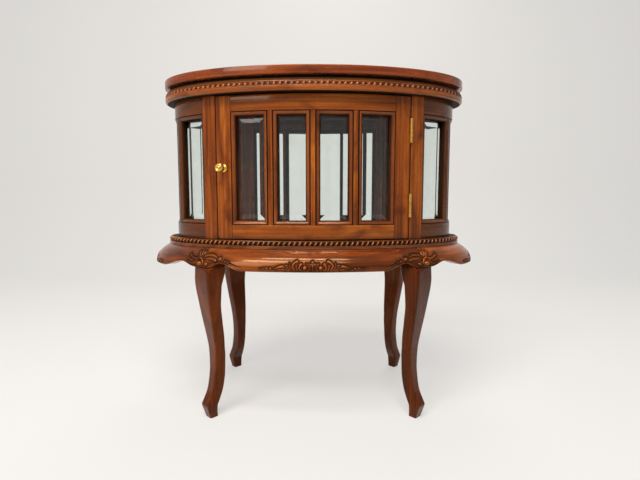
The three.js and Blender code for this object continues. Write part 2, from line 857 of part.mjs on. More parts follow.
// side is -1 for the door's leaf and 1 for the post's
function leafParts(side, height) {
  const low = height - HINGE_LENGTH / 2;
  const pitch = HINGE_LENGTH / KNUCKLE_COUNT;
  const shifts = leafShifts(side, 0);
  const parts = [uprightBox(HINGE_STATION, shifts, [-LEAF_WIDTH, 0], low, low + HINGE_LENGTH)];
  for (let index = side < 0 ? 1 : 0; index < KNUCKLE_COUNT; index += 2) {
    const from = low + index * pitch + (index === 0 ? 0 : KNUCKLE_PLAY / 2);
    const to = low + (index + 1) * pitch - (index === KNUCKLE_COUNT - 1 ? 0 : KNUCKLE_PLAY / 2);
    parts.push(uprightBox(HINGE_STATION, shifts, [-WELD_DEPTH, PIN_OUTSET], from, to));
    parts.push(pinCylinder(KNUCKLE_RADIUS, from, to));
  }
  return parts;
}

function hingePocket(side, height) {
  const half = HINGE_LENGTH / 2 + SEAT_GAP;
  const outsets = [-LEAF_WIDTH - SEAT_GAP, CUT_OVERRUN];
  const [near, far] = leafShifts(side, SEAT_GAP);
  return uprightBox(HINGE_STATION, [near, far], outsets, height - half, height + half);
}

function addHinges() {
  ['upper', 'lower'].forEach((level, index) => {
    const height = HINGE_LEVELS[index];
    const low = height - HINGE_LENGTH / 2;
    const high = height + HINGE_LENGTH / 2;
    const bore = pinCylinder(PIN_RADIUS + PIN_PLAY, low - CUT_OVERRUN, high + CUT_OVERRUN);
    const doorLeaf = cutFrom(joinAll(leafParts(-1, height)), [bore]);
    addPiece(`hinge_${level}_door_leaf`, doorLeaf, BRASS);
    const postLeaf = joinAll([...leafParts(1, height), pinCylinder(PIN_RADIUS, low, high)]);
    addPiece(`hinge_${level}_post_leaf`, postLeaf, BRASS);
  });
}

// Posts and stiles

function addPosts() {
  const { low, high, look } = fixedFrame;
  const right = HINGE_LEVELS.map((height) => hingePocket(1, height));
  const posts = [
    ['post_front_right', stationAtX(POST_INNER_X, FRONT), rightBay.from, ['to'],
      [rightBay.pockets[0], ...right]],
    ['post_rear_right', rightBay.to, rearBay.from, ['from', 'to'],
      [rightBay.pockets.at(-1), rearBay.pockets[0]]],
    ['post_rear_left', rearBay.to, leftBay.from, ['from', 'to'],
      [rearBay.pockets.at(-1), leftBay.pockets[0]]],
    ['post_front_left', leftBay.to, stationAtX(-POST_INNER_X, FRONT) + FULL_TURN, ['from'],
      [leftBay.pockets.at(-1)]],
  ];
  for (const [name, from, to, beads, cutters] of posts) {
    addPlank(name, from, to, beads, low, high, cutters, look);
  }
}

function addDoor() {
  const { low, high, look, from, to, pockets } = doorBay;
  const leftEdge = stationAtX(-DOOR_HALF_WIDTH, FRONT);
  const rightEdge = stationAtX(DOOR_HALF_WIDTH, FRONT);
  const mortises = HINGE_LEVELS.map((height) => hingePocket(-1, height));
  const hung = [pockets.at(-1), ...mortises];
  addPlank('door_stile_left', leftEdge, from, ['to'], low, high, [pockets[0]], look);
  addPlank('door_stile_right', to, rightEdge, ['from'], low, high, hung, look);
  addBay(doorBay);
}

function addKnob() {
  const station = stationAtX(-KNOB_X, FRONT);
  const points = KNOB_SHARES.map(([across, along]) => (
    new THREE.Vector2(across * KNOB_RADIUS, along * KNOB_PROJECTION)
  ));
  const knob = addPiece('door_knob', new THREE.LatheGeometry(points, KNOB_SIDES), BRASS);
  const normal = ovalNormal(station);
  const outwards = new THREE.Vector3(normal.x, normal.y, 0);
  const foot = ovalPlace(station, SEAT_GAP);
  knob.quaternion.setFromUnitVectors(new THREE.Vector3(0, 1, 0), outwards);
  knob.position.set(foot.x, foot.y, KNOB_Z);
}

// The catch stands behind the front left post and stops the door's free edge
function addCatch() {
  const station = stationAtX(-HINGE_X, FRONT);
  const back = -FRAME_THICKNESS - SEAT_GAP;
  const from = stationBeside(station, -CATCH_WIDTH / 2);
  const to = stationBeside(station, CATCH_WIDTH / 2);
  const low = KNOB_Z - CATCH_LENGTH / 2;
  const profile = boxProfile(back - CATCH_DEPTH, back, low, low + CATCH_LENGTH);
  addPiece('door_catch', sweepProfile(profile, from, to), STEEL);
}

addTop();
addCornice();
addPosts();
addBay(rearBay);
addBay(rightBay);
addBay(leftBay);
addDoor();
addHinges();
addKnob();
addCatch();
addBaseBoard();
addAprons();
addLegs();

export default table;
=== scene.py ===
"""Looks of an oval display table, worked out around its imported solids.

Shapes are worked out in millimetres and become metres when a mesh is made. +Z is up, the front
faces -Y, and the origin is on the floor under the middle of the case. Most pieces start as
straight stock, given by travel along the case's face, outset from it and height, and are then
bent round the oval. Travel is nought at the middle of the front and grows towards +X.
"""

import logging
import math
from dataclasses import dataclass
from enum import Enum

import bpy
import numpy as np
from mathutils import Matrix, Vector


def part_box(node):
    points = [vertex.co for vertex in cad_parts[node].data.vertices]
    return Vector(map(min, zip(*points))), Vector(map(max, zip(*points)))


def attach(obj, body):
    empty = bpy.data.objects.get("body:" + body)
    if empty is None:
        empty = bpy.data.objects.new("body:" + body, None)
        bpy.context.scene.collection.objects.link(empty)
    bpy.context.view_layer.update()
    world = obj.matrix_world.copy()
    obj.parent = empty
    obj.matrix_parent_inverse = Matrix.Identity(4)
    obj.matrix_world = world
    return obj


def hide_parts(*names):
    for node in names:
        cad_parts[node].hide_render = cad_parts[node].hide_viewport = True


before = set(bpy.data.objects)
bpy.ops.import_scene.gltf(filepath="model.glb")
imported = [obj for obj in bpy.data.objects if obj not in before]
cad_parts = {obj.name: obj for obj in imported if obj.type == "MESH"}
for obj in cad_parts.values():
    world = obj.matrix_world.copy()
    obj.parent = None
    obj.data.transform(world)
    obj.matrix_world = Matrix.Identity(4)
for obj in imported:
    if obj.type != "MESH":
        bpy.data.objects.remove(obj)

Array = np.ndarray
Socket = bpy.types.NodeSocket
Color = tuple[float, float, float]
Knots = tuple[tuple[float, float, float, float], ...]

LOG = logging.getLogger("display_table")
MM = 0.001
QUARTER = math.pi / 2
FULL_TURN = 2 * math.pi
FRONT_ANGLE = -QUARTER

# How far the top and the mouldings stand out from the case, and two widths that parts share
REACH = 19
CORNICE_WIDTH = 64
BEAD_WIDTH = 7

# The refractive index of glass and of polish
REFRACTION = 1.5


class Body(Enum):
    """The bodies that pieces ride on."""

    TOP = "top"
    CABINET = "cabinet"
    DOOR = "door"


class Slot(Enum):
    """The record's material slots, named in each piece's place but not given to it."""

    MAHOGANY = "mahogany"
    DOOR_MAHOGANY = "door_mahogany"
    DARK_MAHOGANY = "dark_mahogany"
    BRASS = "brass"
    STEEL = "steel"


class Side(Enum):
    """The two long sides, by the sign of Y."""

    FRONT = -1
    REAR = 1


Place = tuple[Body, Slot]
ON_TOP = (Body.TOP, Slot.MAHOGANY)
ON_CASE = (Body.CABINET, Slot.MAHOGANY)
IN_FRAME = (Body.CABINET, Slot.DARK_MAHOGANY)
ON_DOOR = (Body.DOOR, Slot.DOOR_MAHOGANY)


def box_mm(node: str) -> Array:
    """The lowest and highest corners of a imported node, in millimetres."""
    return np.array(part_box(node)) / MM


def ease(share: Array) -> Array:
    """A share from 0 to 1, clipped and eased in and out as 3t² - 2t³."""
    share = np.clip(share, 0, 1)
    return share * share * (3 - 2 * share)


def unit(vectors: Array) -> Array:
    """The vectors, each divided by its length."""
    return vectors / np.maximum(np.linalg.norm(vectors, axis=-1, keepdims=True), 1e-9)


def beside(*blocks: Array) -> Array:
    """Arrays joined side by side."""
    return np.concatenate(blocks, axis=1)


def raised(plan: Array, height: Array) -> Array:
    """Plan points at their heights."""
    return np.concatenate([plan, np.broadcast_to(height, plan.shape[:-1])[..., None]], axis=-1)


def grain_map(along: Array, across: Array) -> Array:
    """Grain in metres, from millimetres along it and across it."""
    return np.stack(np.broadcast_arrays(along, across), axis=-1) * MM


def planar_grain(points: Array) -> Array:
    """Grain along X, with depth and height across it."""
    return grain_map(points[..., 0], points[..., 1] + points[..., 2])


def block(left: float, right: float, low: float, high: float) -> list:
    """A rectangle's corners, from the lower left one round to the upper left one."""
    return [[left, low], [right, low], [right, high], [left, high]]


def quarters(turn: float) -> list[tuple]:
    """The oval's four sides with their first and last stations, parted a turn from the front.

    Args:
        turn: how far from the front the first split lies.

    Returns:
        Each side's name, first station and last station.
    """
    splits = np.array([-turn, turn, math.pi - turn, math.pi + turn, FULL_TURN - turn])
    marks = FRONT_ANGLE + splits
    return list(zip(("front", "right", "back", "left"), marks, marks[1:]))


@dataclass(frozen=True)
class Oval:
    """The ellipse of the case's face in plan.

    A station is the ellipse's angle, travel is the distance along the face from the middle of
    the front, and an outset is measured along the normal.
    """

    half_length: float
    half_depth: float
    marks: int = 7200

    def normal(self, angle: Array) -> Array:
        """The outward unit normal, (b cos a, a sin a) over its length."""
        across = self.half_depth * np.cos(angle)
        return unit(np.stack([across, self.half_length * np.sin(angle)], axis=-1))

    def place(self, angle: Array, outset: Array) -> Array:
        """The plan point at a station and an outset."""
        across = self.half_length * np.cos(angle)
        on_face = np.stack([across, self.half_depth * np.sin(angle)], axis=-1)
        return on_face + self.normal(angle) * np.asarray(outset, float)[..., None]

    def ruler(self, outset: float = 0) -> tuple[Array, Array]:
        """Stations over two turns and the travel of each, summed from short chords.

        Args:
            outset: where the line lies.

        Returns:
            The stations and their travels.
        """
        angles = np.linspace(FRONT_ANGLE - FULL_TURN, FRONT_ANGLE + FULL_TURN, self.marks)
        travel = loop_length(self.place(angles, outset))
        return angles, travel - np.interp(FRONT_ANGLE, angles, travel)

    def travel_at(self, angle: Array, outset: float = 0) -> Array:
        """The travel of a station along the line at an outset."""
        return np.interp(angle, *self.ruler(outset))

    def angle_at(self, travel: Array, outset: float = 0) -> Array:
        """The station of a travel along the line at an outset."""
        return np.interp(travel, *self.ruler(outset)[::-1])

    def girth(self, outset: float = 0) -> float:
        """The length of the whole line at an outset."""
        return float(self.travel_at(FRONT_ANGLE + FULL_TURN, outset))

    def travel_at_x(self, x: float, side: Side = Side.FRONT) -> float:
        """The travel of a given X on the face of a long side."""
        return float(self.travel_at(side.value * math.acos(x / self.half_length)))

    def turn_to_x(self, x: float, outset: float) -> float:
        """How far round from the front the line at an outset reaches a given X."""
        turns = np.linspace(0, QUARTER, 4000)
        return float(np.interp(x, self.place(FRONT_ANGLE + turns, outset)[:, 0], turns))

    def bend(self, travel: Array, outset: Array, height: Array) -> Array:
        """Straight stock, given by travel, outset and height, bent round the oval."""
        travel, outset, height = np.broadcast_arrays(travel, outset, height)
        return raised(self.place(self.angle_at(travel), outset), height)

    def locate(self, plan: Array) -> tuple[Array, Array]:
        """The station and outset of plan points, by the nearest of many marks.

        The mark f that lies nearest to a point p has the least |f|² - 2 p · f.

        Args:
            plan: the plan points.

        Returns:
            Their stations and their outsets.
        """
        angles = np.linspace(-math.pi, math.pi, self.marks // 2)
        face = self.place(angles, 0)
        flat = plan.reshape(-1, 2)
        nearest = np.argmin(np.sum(face**2, axis=1) - 2 * flat @ face.T, axis=1)
        outsets = np.sum((flat - face[nearest]) * self.normal(angles[nearest]), axis=1)
        return angles[nearest].reshape(plan.shape[:-1]), outsets.reshape(plan.shape[:-1])


@dataclass(frozen=True)
class Levels:
    """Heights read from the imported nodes, in millimetres."""

    apron: float
    case: float
    cornice: float
    shadow: float
    rim: float
    board: float
    door_low: float
    door_high: float
    rail_bottom: float
    rail_top: float

    @classmethod
    def from_frame(cls) -> "Levels":
        """Reads the levels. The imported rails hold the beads, which are pieces of their own here."""
        door_low, rail_bottom = box_mm("door_rail_bottom")[:, 2]
        rail_top, door_high = box_mm("door_rail_top")[:, 2]
        return cls(
            box_mm("base_board")[0, 2], box_mm("post_front_right")[0, 2],
            *box_mm("cornice")[:, 2], box_mm("top_rim_front")[0, 2], box_mm("top_panel")[1, 2],
            door_low, door_high, rail_bottom - BEAD_WIDTH, rail_top + BEAD_WIDTH,
        )


# Skins and the loops that they are made from


@dataclass
class Skin:
    """A grid of points in millimetres, with the repeated last row or column where it wraps.

    grain holds metres along and across the grain. hollow says, from 0 to 1, how dark a point is
    painted, for stain and painted shade, and crest how light, for rubbing and painted highlight.
    """

    points: Array
    grain: Array
    wrap_rows: bool = False
    hollow: Array | None = None
    crest: Array | None = None

    def cut_from(self, seed: float) -> "Skin":
        """The same skin cut from another part of the plank, so that no two pieces match."""
        self.grain = self.grain + np.array([0.37, 0.113]) * seed
        return self

    def darkened(self, stain: Array) -> "Skin":
        """The same skin with a darkening, of stain and painted shade, that is alike in every row."""
        self.hollow = np.broadcast_to(stain, self.points.shape[:2])
        return self


def loop_length(loop: Array) -> Array:
    """The distance along a line of points, from its first point."""
    steps = np.linalg.norm(np.diff(loop, axis=0), axis=-1)
    return np.concatenate([[0], np.cumsum(steps)])


def rounded(corners: list, radius: float | list, steps: int = 4) -> Array:
    """A closed outline with soft corners.

    Each corner becomes a quadratic curve that starts one radius before it and ends one
    radius after it.

    Args:
        corners: the outline's corners, in order.
        radius: the radius of all corners, or of each.
        steps: how many pieces a corner is drawn with.

    Returns:
        The closed loop, its first point repeated at its end.
    """
    points = np.asarray(corners, float)
    reach = np.broadcast_to(np.asarray(radius, float), len(points))[:, None]
    start = points + unit(np.roll(points, 1, axis=0) - points) * reach
    end = points + unit(np.roll(points, -1, axis=0) - points) * reach
    share = np.linspace(0, 1, steps + 1)[None, :, None]
    curve = (1 - share) ** 2 * start[:, None] + share**2 * end[:, None]
    loop = (curve + 2 * share * (1 - share) * points[:, None]).reshape(-1, 2)
    return np.vstack([loop, loop[:1]])


def refined(loop: Array, spacing: float) -> Array:
    """The same loop with points at most a spacing apart, keeping its own points.

    Args:
        loop: the points.
        spacing: the most between two points.

    Returns:
        The finer loop.
    """
    travel = loop_length(loop)
    count = int(travel[-1] / spacing) + 2
    marks = np.union1d(np.round(travel, 4), np.round(np.linspace(0, travel[-1], count), 4))
    marks = marks[np.concatenate([[True], np.diff(marks) > 0.01])]
    return np.stack([np.interp(marks, travel, loop[:, axis]) for axis in (0, 1)], axis=-1)


def drawn_in(loop: Array, depths: Array) -> Array:
    """A closed loop moved inwards along its normals by each depth in turn.

    Args:
        loop: the closed loop.
        depths: how far each copy is moved.

    Returns:
        One loop for each depth.
    """
    ring = loop[:-1]
    following = np.roll(ring, -1, axis=0)
    ahead = following - np.roll(ring, 1, axis=0)
    area = np.sum(ring[:, 0] * following[:, 1] - following[:, 0] * ring[:, 1])
    normal = unit(np.stack([ahead[:, 1], -ahead[:, 0]], axis=-1)) * np.sign(area)
    normal = np.vstack([normal, normal[:1]])
    return loop[None] - normal[None] * np.asarray(depths)[:, None, None]


def smooth_path(knots: Array, count: int) -> Array:
    """A Catmull-Rom curve through the knots, whatever they hold, in count points.

    Args:
        knots: one row for each knot.
        count: how many points it has.

    Returns:
        One row for each point.
    """
    knots = np.asarray(knots, float)
    padded = np.vstack([2 * knots[0] - knots[1], knots, 2 * knots[-1] - knots[-2]])
    marks = np.linspace(0, len(knots) - 1, count)
    first = np.minimum(marks.astype(int), len(knots) - 2)
    share = (marks - first)[:, None]
    before, here, there, after = (padded[first + step] for step in range(4))
    slope_here, slope_there = (there - before) / 2, (after - here) / 2
    cubic = 2 * here - 2 * there + slope_here + slope_there
    square = -3 * here + 3 * there - 2 * slope_here - slope_there
    return here + slope_here * share + square * share**2 + cubic * share**3


@dataclass(frozen=True)
class Joinery:
    """Shapes stock: each method gives the skin of one kind of piece, bent round the oval."""

    oval: Oval
    spacing: float = 5.0
    soften: float = 0.45
    stations: int = 288
    notch: float = 0.5
    # stain, darkening_start and darkening_depth set how the joints darken: old polish and painted
    # shade.
    stain: float = 0.97
    darkening_start: float = 0.08
    darkening_depth: float = 12

    def rows(self, start: float, end: float, spacing: float) -> tuple[Array, Array]:
        """Rows along a piece, and how far the loop is drawn in at each to soften the ends.

        Args:
            start: where the piece begins.
            end: where it ends.
            spacing: the most between two rows.

        Returns:
            The rows' places and the depths.
        """
        count = max(2, int((end - start) / spacing) + 2)
        middle = np.linspace(start + self.soften, end - self.soften, count)
        depths = np.zeros(count + 2)
        depths[[0, -1]] = self.soften
        return np.concatenate([[start], middle, [end]]), depths

    def bar(self, loop: Array, start: float, end: float, darkened: bool = False) -> Skin:
        """A bar along the oval.

        Args:
            loop: a closed loop of (outset, height).
            start: the travel where it begins.
            end: the travel where it ends.
            darkened: whether the joints over and under it are darkened with old polish and painted
                shade.

        Returns:
            The bar, with its grain along it.
        """
        rows, depths = self.rows(start, end, self.spacing)
        loops = drawn_in(loop, depths)
        points = self.oval.bend(rows[:, None], loops[..., 0], loops[..., 1])
        hollow = self.joint_polish_and_shade(loops[..., 0], loop[:, 0].max()) if darkened else None
        return Skin(points, grain_map(rows[:, None], loop_length(loop)), False, hollow)

    def upright(self, loop: Array, low: float, high: float) -> Skin:
        """An upright from a closed loop of (travel, outset), with its grain upright.

        Args:
            loop: its section.
            low: the height of its foot.
            high: the height of its head.

        Returns:
            The upright.
        """
        rows, depths = self.rows(low, high, high - low)
        loops = drawn_in(refined(loop, self.spacing), depths)
        points = self.oval.bend(loops[..., 0], loops[..., 1], rows[:, None])
        grain = grain_map(rows[:, None], loop_length(loops[1]) + loops[0, 0, 0])
        return Skin(points, grain, False, self.joint_polish_and_shade(loops[..., 1], loops[..., 1].max()))

    def joint_polish_and_shade(self, outset: Array, face: float) -> Array:
        """Old polish and painted shade in the joints: dark from just behind the face to well down its
        sides.
        """
        depth = face - outset
        deep = 1 - 0.7 * ease((depth - self.darkening_depth) / 3)
        return self.stain * ease((depth - self.darkening_start) / 0.5) * deep

    def frame_bead(self, section: Array, span: tuple, levels: tuple) -> Skin:
        """A mitred ring inside an opening.

        Args:
            section: a closed loop of (inset, outset).
            span: the opening's two travels.
            levels: the opening's two heights.

        Returns:
            The ring, its four sides meeting at their mitres.
        """
        left, right = span
        low, high = levels
        steps = int((right - left) / self.spacing) + 2
        across, rising = np.linspace(0, 1, steps), np.linspace(0, 1, 4)[1:-1]
        level, side = np.zeros(steps), np.ones(len(rising))
        shares_x = np.concatenate([across, side, across[::-1], 0 * side, [0]])
        shares_z = np.concatenate([level, rising, level + 1, rising[::-1], [0]])
        inset = section[None, :, 0]
        travel = left + inset + shares_x[:, None] * (right - left - 2 * inset)
        height = low + inset + shares_z[:, None] * (high - low - 2 * inset)
        points = self.oval.bend(travel, section[None, :, 1], height)
        outline = loop_length(np.stack([travel[:, 0], height[:, 0]], axis=-1))
        return Skin(points, grain_map(outline[:, None] + left, loop_length(section)), True)

    def moulding(self, loop: Array, stains_and_shade: Array) -> Skin:
        """A ring right round the oval, with its grain along it.

        Args:
            loop: a closed loop of (outset, height).
            stains_and_shade: how dark each point of the loop is painted, from 0 to 1, for stain and
                painted shade.

        Returns:
            The ring, which starts at the middle of the back.
        """
        travel = np.linspace(-0.5, 0.5, self.stations + 1)[:, None] * self.oval.girth()
        points = self.oval.bend(travel, loop[:, 0], loop[:, 1])
        return Skin(points, grain_map(travel, loop_length(loop)), True).darkened(stains_and_shade)

    def board(self, outline: Array, seams: tuple = ()) -> Skin:
        """A board that fills the oval, with its grain along X.

        Args:
            outline: (outset, height, darkening) points, the darkening painting dark joints and shade,
                from the middle of the underside outwards and back over the upper face. The last and
                first rows close as flat faces.
            seams: the travels of scarf joints, each a fine dark notch across the edge.

        Returns:
            The board.
        """
        girth = self.oval.girth()
        notches = [place % girth + step for place in seams for step in (-0.7, -0.3, 0.3, 0.7)]
        travel = np.union1d(np.linspace(0, girth, self.stations + 1), notches)
        cut = np.zeros((1, len(travel)), bool)
        for place in seams:
            cut |= np.abs(travel - place % girth) < 0.4
        points = self.oval.bend(travel, outline[:, :1] - self.notch * cut, outline[:, 1:2])
        return Skin(points, planar_grain(points), False, np.maximum(outline[:, 2:], cut))


def turned(profile: Array, foot: Array, axis: Array, sides: int = 48) -> Skin:
    """A turned piece.

    Args:
        profile: (radius, distance along the axis) points, from the foot to the head.
        foot: where the axis starts, in millimetres.
        axis: the axis' direction.
        sides: how many points lie round it.

    Returns:
        The turned skin, its first and last rings closed by flat faces.
    """
    axis = unit(np.asarray(axis, float))
    helper = np.array([0.0, 0.0, 1.0]) if abs(axis[2]) < 0.9 else np.array([1.0, 0.0, 0.0])
    across = unit(np.cross(axis, helper))
    turn = np.linspace(0, FULL_TURN, sides + 1)[:, None]
    ring = np.cos(turn) * across + np.sin(turn) * np.cross(axis, across)
    points = foot + profile[:, None, 1:] * axis + profile[:, None, :1] * ring[None]
    return Skin(points, grain_map(loop_length(profile)[:, None], turn.T * profile[:, 0].max()))


# Meshes


def skin_faces(skin: Skin) -> tuple[Array, Array, list]:
    """The corners of a skin's faces.

    Args:
        skin: the skin.

    Returns:
        The quads as vertex numbers and as grid numbers, and the flat end faces, which a skin
        has unless its rows wrap, as vertex numbers.
    """
    rows, columns = skin.points.shape[:2]
    real_rows, real_columns = rows - int(skin.wrap_rows), columns - 1
    grid = np.arange(rows * columns).reshape(rows, columns)
    down, across = np.arange(rows)[:, None] % real_rows, np.arange(columns) % real_columns
    index = down * real_columns + across

    def quads(numbers: Array) -> Array:
        """The four corners of each cell of a grid of numbers."""
        corners = [numbers[:-1, :-1], numbers[1:, :-1], numbers[1:, 1:], numbers[:-1, 1:]]
        return np.stack(corners, axis=-1).reshape(-1, 4)

    ends = [] if skin.wrap_rows else [index[0, :-1], index[-1, :-1][::-1]]
    return quads(index), quads(grid), ends


def skin_volume(vertices: Array, quads: Array, ends: list) -> float:
    """Six times the volume that the faces enclose, by the sum of a · (b × c).

    Args:
        vertices: the points.
        quads: the four-sided faces.
        ends: the flat end faces.

    Returns:
        The volume, negative if inside out.
    """
    corners = vertices[quads]
    total = 0.0
    for second, third in ((1, 2), (2, 3)):
        total += np.sum(corners[:, 0] * np.cross(corners[:, second], corners[:, third]))
    for end in ends:
        ring = vertices[end]
        total += np.sum(ring[0] * np.cross(ring[1:-1], ring[2:]).sum(axis=0))
    return float(total)


def end_grain(ring: Array) -> Array:
    """Grain of a flat end face: along X if it lies level, or else tight end grain."""
    spread = np.ptp(ring, axis=0)
    if spread[2] < 0.1 * max(spread[0], spread[1]):
        return planar_grain(ring)
    return grain_map(ring[:, 2], ring[:, 0] + ring[:, 1])


def placed(name: str, data: bpy.types.ID) -> bpy.types.Object:
    """A new object in the scene."""
    piece = bpy.data.objects.new(name, data)
    bpy.context.scene.collection.objects.link(piece)
    return piece


def mesh_piece(name: str, skins: list[Skin], sharp_angle: float) -> bpy.types.Object:
    """One mesh object from closed skins.

    Args:
        name: the object's name.
        skins: the skins, which stay separate shells in the one mesh.
        sharp_angle: edges sharper than this many degrees stay crisp.

    Returns:
        The object, with the grain as its UV map and its hollows and crests as attributes.
    """
    vertices, hollows, crests, corners, sizes, grains = [], [], [], [], [], []
    offset = 0
    for skin in skins:
        quads, grid_quads, ends = skin_faces(skin)
        rows = skin.points.shape[0] - int(skin.wrap_rows)
        kept = skin.points[:rows, :-1].reshape(-1, 3)
        turn = -1 if skin_volume(kept, quads, ends) < 0 else 1
        corners.append(quads[:, ::turn].ravel() + offset)
        grains.append(skin.grain.reshape(-1, 2)[grid_quads[:, ::turn].ravel()])
        sizes += [4] * len(quads)
        for end in ends:
            corners.append(end[::turn] + offset)
            grains.append(end_grain(kept[end[::turn]]))
            sizes.append(len(end))
        for masks, mask in ((hollows, skin.hollow), (crests, skin.crest)):
            masks.append(np.zeros(len(kept)) if mask is None else mask[:rows, :-1].ravel())
        vertices.append(kept)
        offset += len(kept)
    mesh = bpy.data.meshes.new(name)
    all_corners = np.concatenate(corners)
    mesh.vertices.add(offset)
    mesh.vertices.foreach_set("co", (np.concatenate(vertices) * MM).astype(np.float32).ravel())
    mesh.loops.add(len(all_corners))
    mesh.loops.foreach_set("vertex_index", all_corners.astype(np.int32))
    mesh.polygons.add(len(sizes))
    starts = np.concatenate([[0], np.cumsum(sizes)[:-1]])
    mesh.polygons.foreach_set("loop_start", starts.astype(np.int32))
    mesh.update(calc_edges=True)
    uv_map = mesh.uv_layers.new(name="Grain")
    uv_map.uv.foreach_set("vector", np.concatenate(grains).astype(np.float32).ravel())
    for label, masks in (("Hollow", hollows), ("Crest", crests)):
        attribute = mesh.attributes.new(label, "FLOAT", "POINT")
        attribute.data.foreach_set("value", np.concatenate(masks).astype(np.float32))
    mesh.shade_smooth()
    mesh.set_sharp_from_angle(angle=math.radians(sharp_angle))
    mesh.validate()
    return placed(name, mesh)


# Node trees


class NodeSheet:
    """Adds and links nodes in one node tree."""

    def __init__(self, tree: bpy.types.NodeTree) -> None:
        """Starts on an empty tree."""
        self.tree = tree
        tree.nodes.clear()

    def add(self, kind: str, inputs: dict | None = None, **settings) -> bpy.types.Node:
        """Adds a node.

        Args:
            kind: the node's type name.
            inputs: values or sockets for its inputs, by name or number, colours without alpha.
            settings: attributes of the node.

        Returns:
            The node.
        """
        node = self.tree.nodes.new(kind)
        for key, value in settings.items():
            setattr(node, key, value)
        for key, value in (inputs or {}).items():
            socket = node.inputs[key]
            if isinstance(value, Socket):
                self.tree.links.new(value, socket)
            else:
                socket.default_value = (*value, 1) if socket.type == "RGBA" else value
        return node

    def group(self, tree: bpy.types.NodeTree, inputs: dict) -> bpy.types.NodeOutputs:
        """The outputs of a node group."""
        return self.add("ShaderNodeGroup", inputs, node_tree=tree).outputs

    def math(self, operation: str, *values) -> Socket:
        """A Math node on values or sockets."""
        node = self.add("ShaderNodeMath", dict(enumerate(values)), operation=operation)
        return node.outputs[0]

    def mix(self, share: Socket, first: Socket | Color, second: Socket | Color) -> Socket:
        """A colour mix of two colours or sockets."""
        inputs = {0: share, 6: first, 7: second}
        return self.add("ShaderNodeMix", inputs, data_type="RGBA").outputs[2]

    def span(self, value: Socket, low: float, high: float, to_low: float, to_high: float) -> Socket:
        """A value's range mapped to another, clamped."""
        inputs = {0: value, 1: low, 2: high, 3: to_low, 4: to_high}
        return self.add("ShaderNodeMapRange", inputs, clamp=True).outputs[0]

    def noise(self, vector: Socket, scales: tuple, detail: float, bend: float = 0.0) -> Socket:
        """Noise, from 0 to 1, stretched by a scale for each axis and distorted by its bend."""
        stretched = self.add("ShaderNodeMapping", {"Vector": vector, "Scale": scales})
        inputs = {"Vector": stretched.outputs[0], "Scale": 1.0, "Detail": detail}
        return self.add("ShaderNodeTexNoise", inputs | {"Distortion": bend}).outputs[0]

    def object_place(self) -> Socket:
        """The place on the object."""
        return self.add("ShaderNodeTexCoord").outputs["Object"]

    def principled(self, inputs: dict) -> Socket:
        """A Principled shader."""
        return self.add("ShaderNodeBsdfPrincipled", inputs).outputs[0]

    def blend(self, share: Socket, first: Socket, second: Socket) -> Socket:
        """A mix of two shaders."""
        return self.add("ShaderNodeMixShader", {0: share, 1: first, 2: second}).outputs[0]

    def seen(self, strength: float) -> Socket:
        """A strength for rays from the camera, off gloss and through glass, or else nought."""
        rays = self.add("ShaderNodeLightPath").outputs
        through = self.math("MAXIMUM", rays["Is Glossy Ray"], rays["Is Transmission Ray"])
        return self.math("MULTIPLY", self.math("MAXIMUM", rays["Is Camera Ray"], through), strength)


def new_material(name: str) -> tuple[bpy.types.Material, NodeSheet]:
    """A new material and the sheet of its node tree.

    Args:
        name: the material's name.

    Returns:
        The material and its sheet.
    """
    material = bpy.data.materials.new(name)
    material.use_nodes = True
    return material, NodeSheet(material.node_tree)


def new_group(name: str, inputs: dict[str, str], outputs: dict[str, str]) -> tuple:
    """A new shader node group.

    Args:
        name: the group's name.
        inputs: socket type by input name.
        outputs: socket type by output name.

    Returns:
        The group's sheet and its input sockets by name.
    """
    group = bpy.data.node_groups.new(name, "ShaderNodeTree")
    for way, sockets in (("INPUT", inputs), ("OUTPUT", outputs)):
        for label, kind in sockets.items():
            group.interface.new_socket(label, in_out=way, socket_type=f"NodeSocket{kind}")
    sheet = NodeSheet(group)
    return sheet, sheet.add("NodeGroupInput").outputs


def grain_group() -> bpy.types.NodeTree:
    """Mahogany: bands, streaks and short pores along the grain, and dark clouds of stain."""
    inputs = {"Grain": "Vector", "Light": "Color", "Middle": "Color", "Dark": "Color"}
    outputs = {"Color": "Color", "Pores": "Float"}
    sheet, given = new_group("mahogany_grain", inputs, outputs)
    grain, dark = given["Grain"], given["Dark"]
    bands = sheet.noise(grain, (1.8, 16.0, 1.0), 2.0, 0.6)
    streaks = sheet.noise(grain, (4.0, 150.0, 1.0), 4.0, 0.3)
    fine = sheet.noise(grain, (14.0, 900.0, 1.0), 2.0)
    flecks = sheet.noise(grain, (70.0, 620.0, 1.0), 1.0)
    clouds = sheet.noise(grain, (9.0, 26.0, 1.0), 3.0, 1.2)
    tone = sheet.math("MULTIPLY_ADD", bands, 0.55, sheet.math("MULTIPLY", streaks, 0.45))
    pores = sheet.span(flecks, 0.63, 0.72, 0.0, 1.0)
    color = sheet.mix(sheet.span(tone, 0.5, 0.64, 0.0, 1.0), given["Middle"], given["Light"])
    sink, threads = sheet.span(tone, 0.5, 0.36, 0.0, 1.0), sheet.span(fine, 0.56, 0.72, 0.0, 0.4)
    smudge = sheet.span(clouds, 0.5, 0.72, 0.0, 0.85)
    for share in (sink, threads, smudge, sheet.math("MULTIPLY", pores, 0.45)):
        color = sheet.mix(share, color, dark)
    sheet.add("NodeGroupOutput", {"Color": color, "Pores": pores})
    return sheet.tree


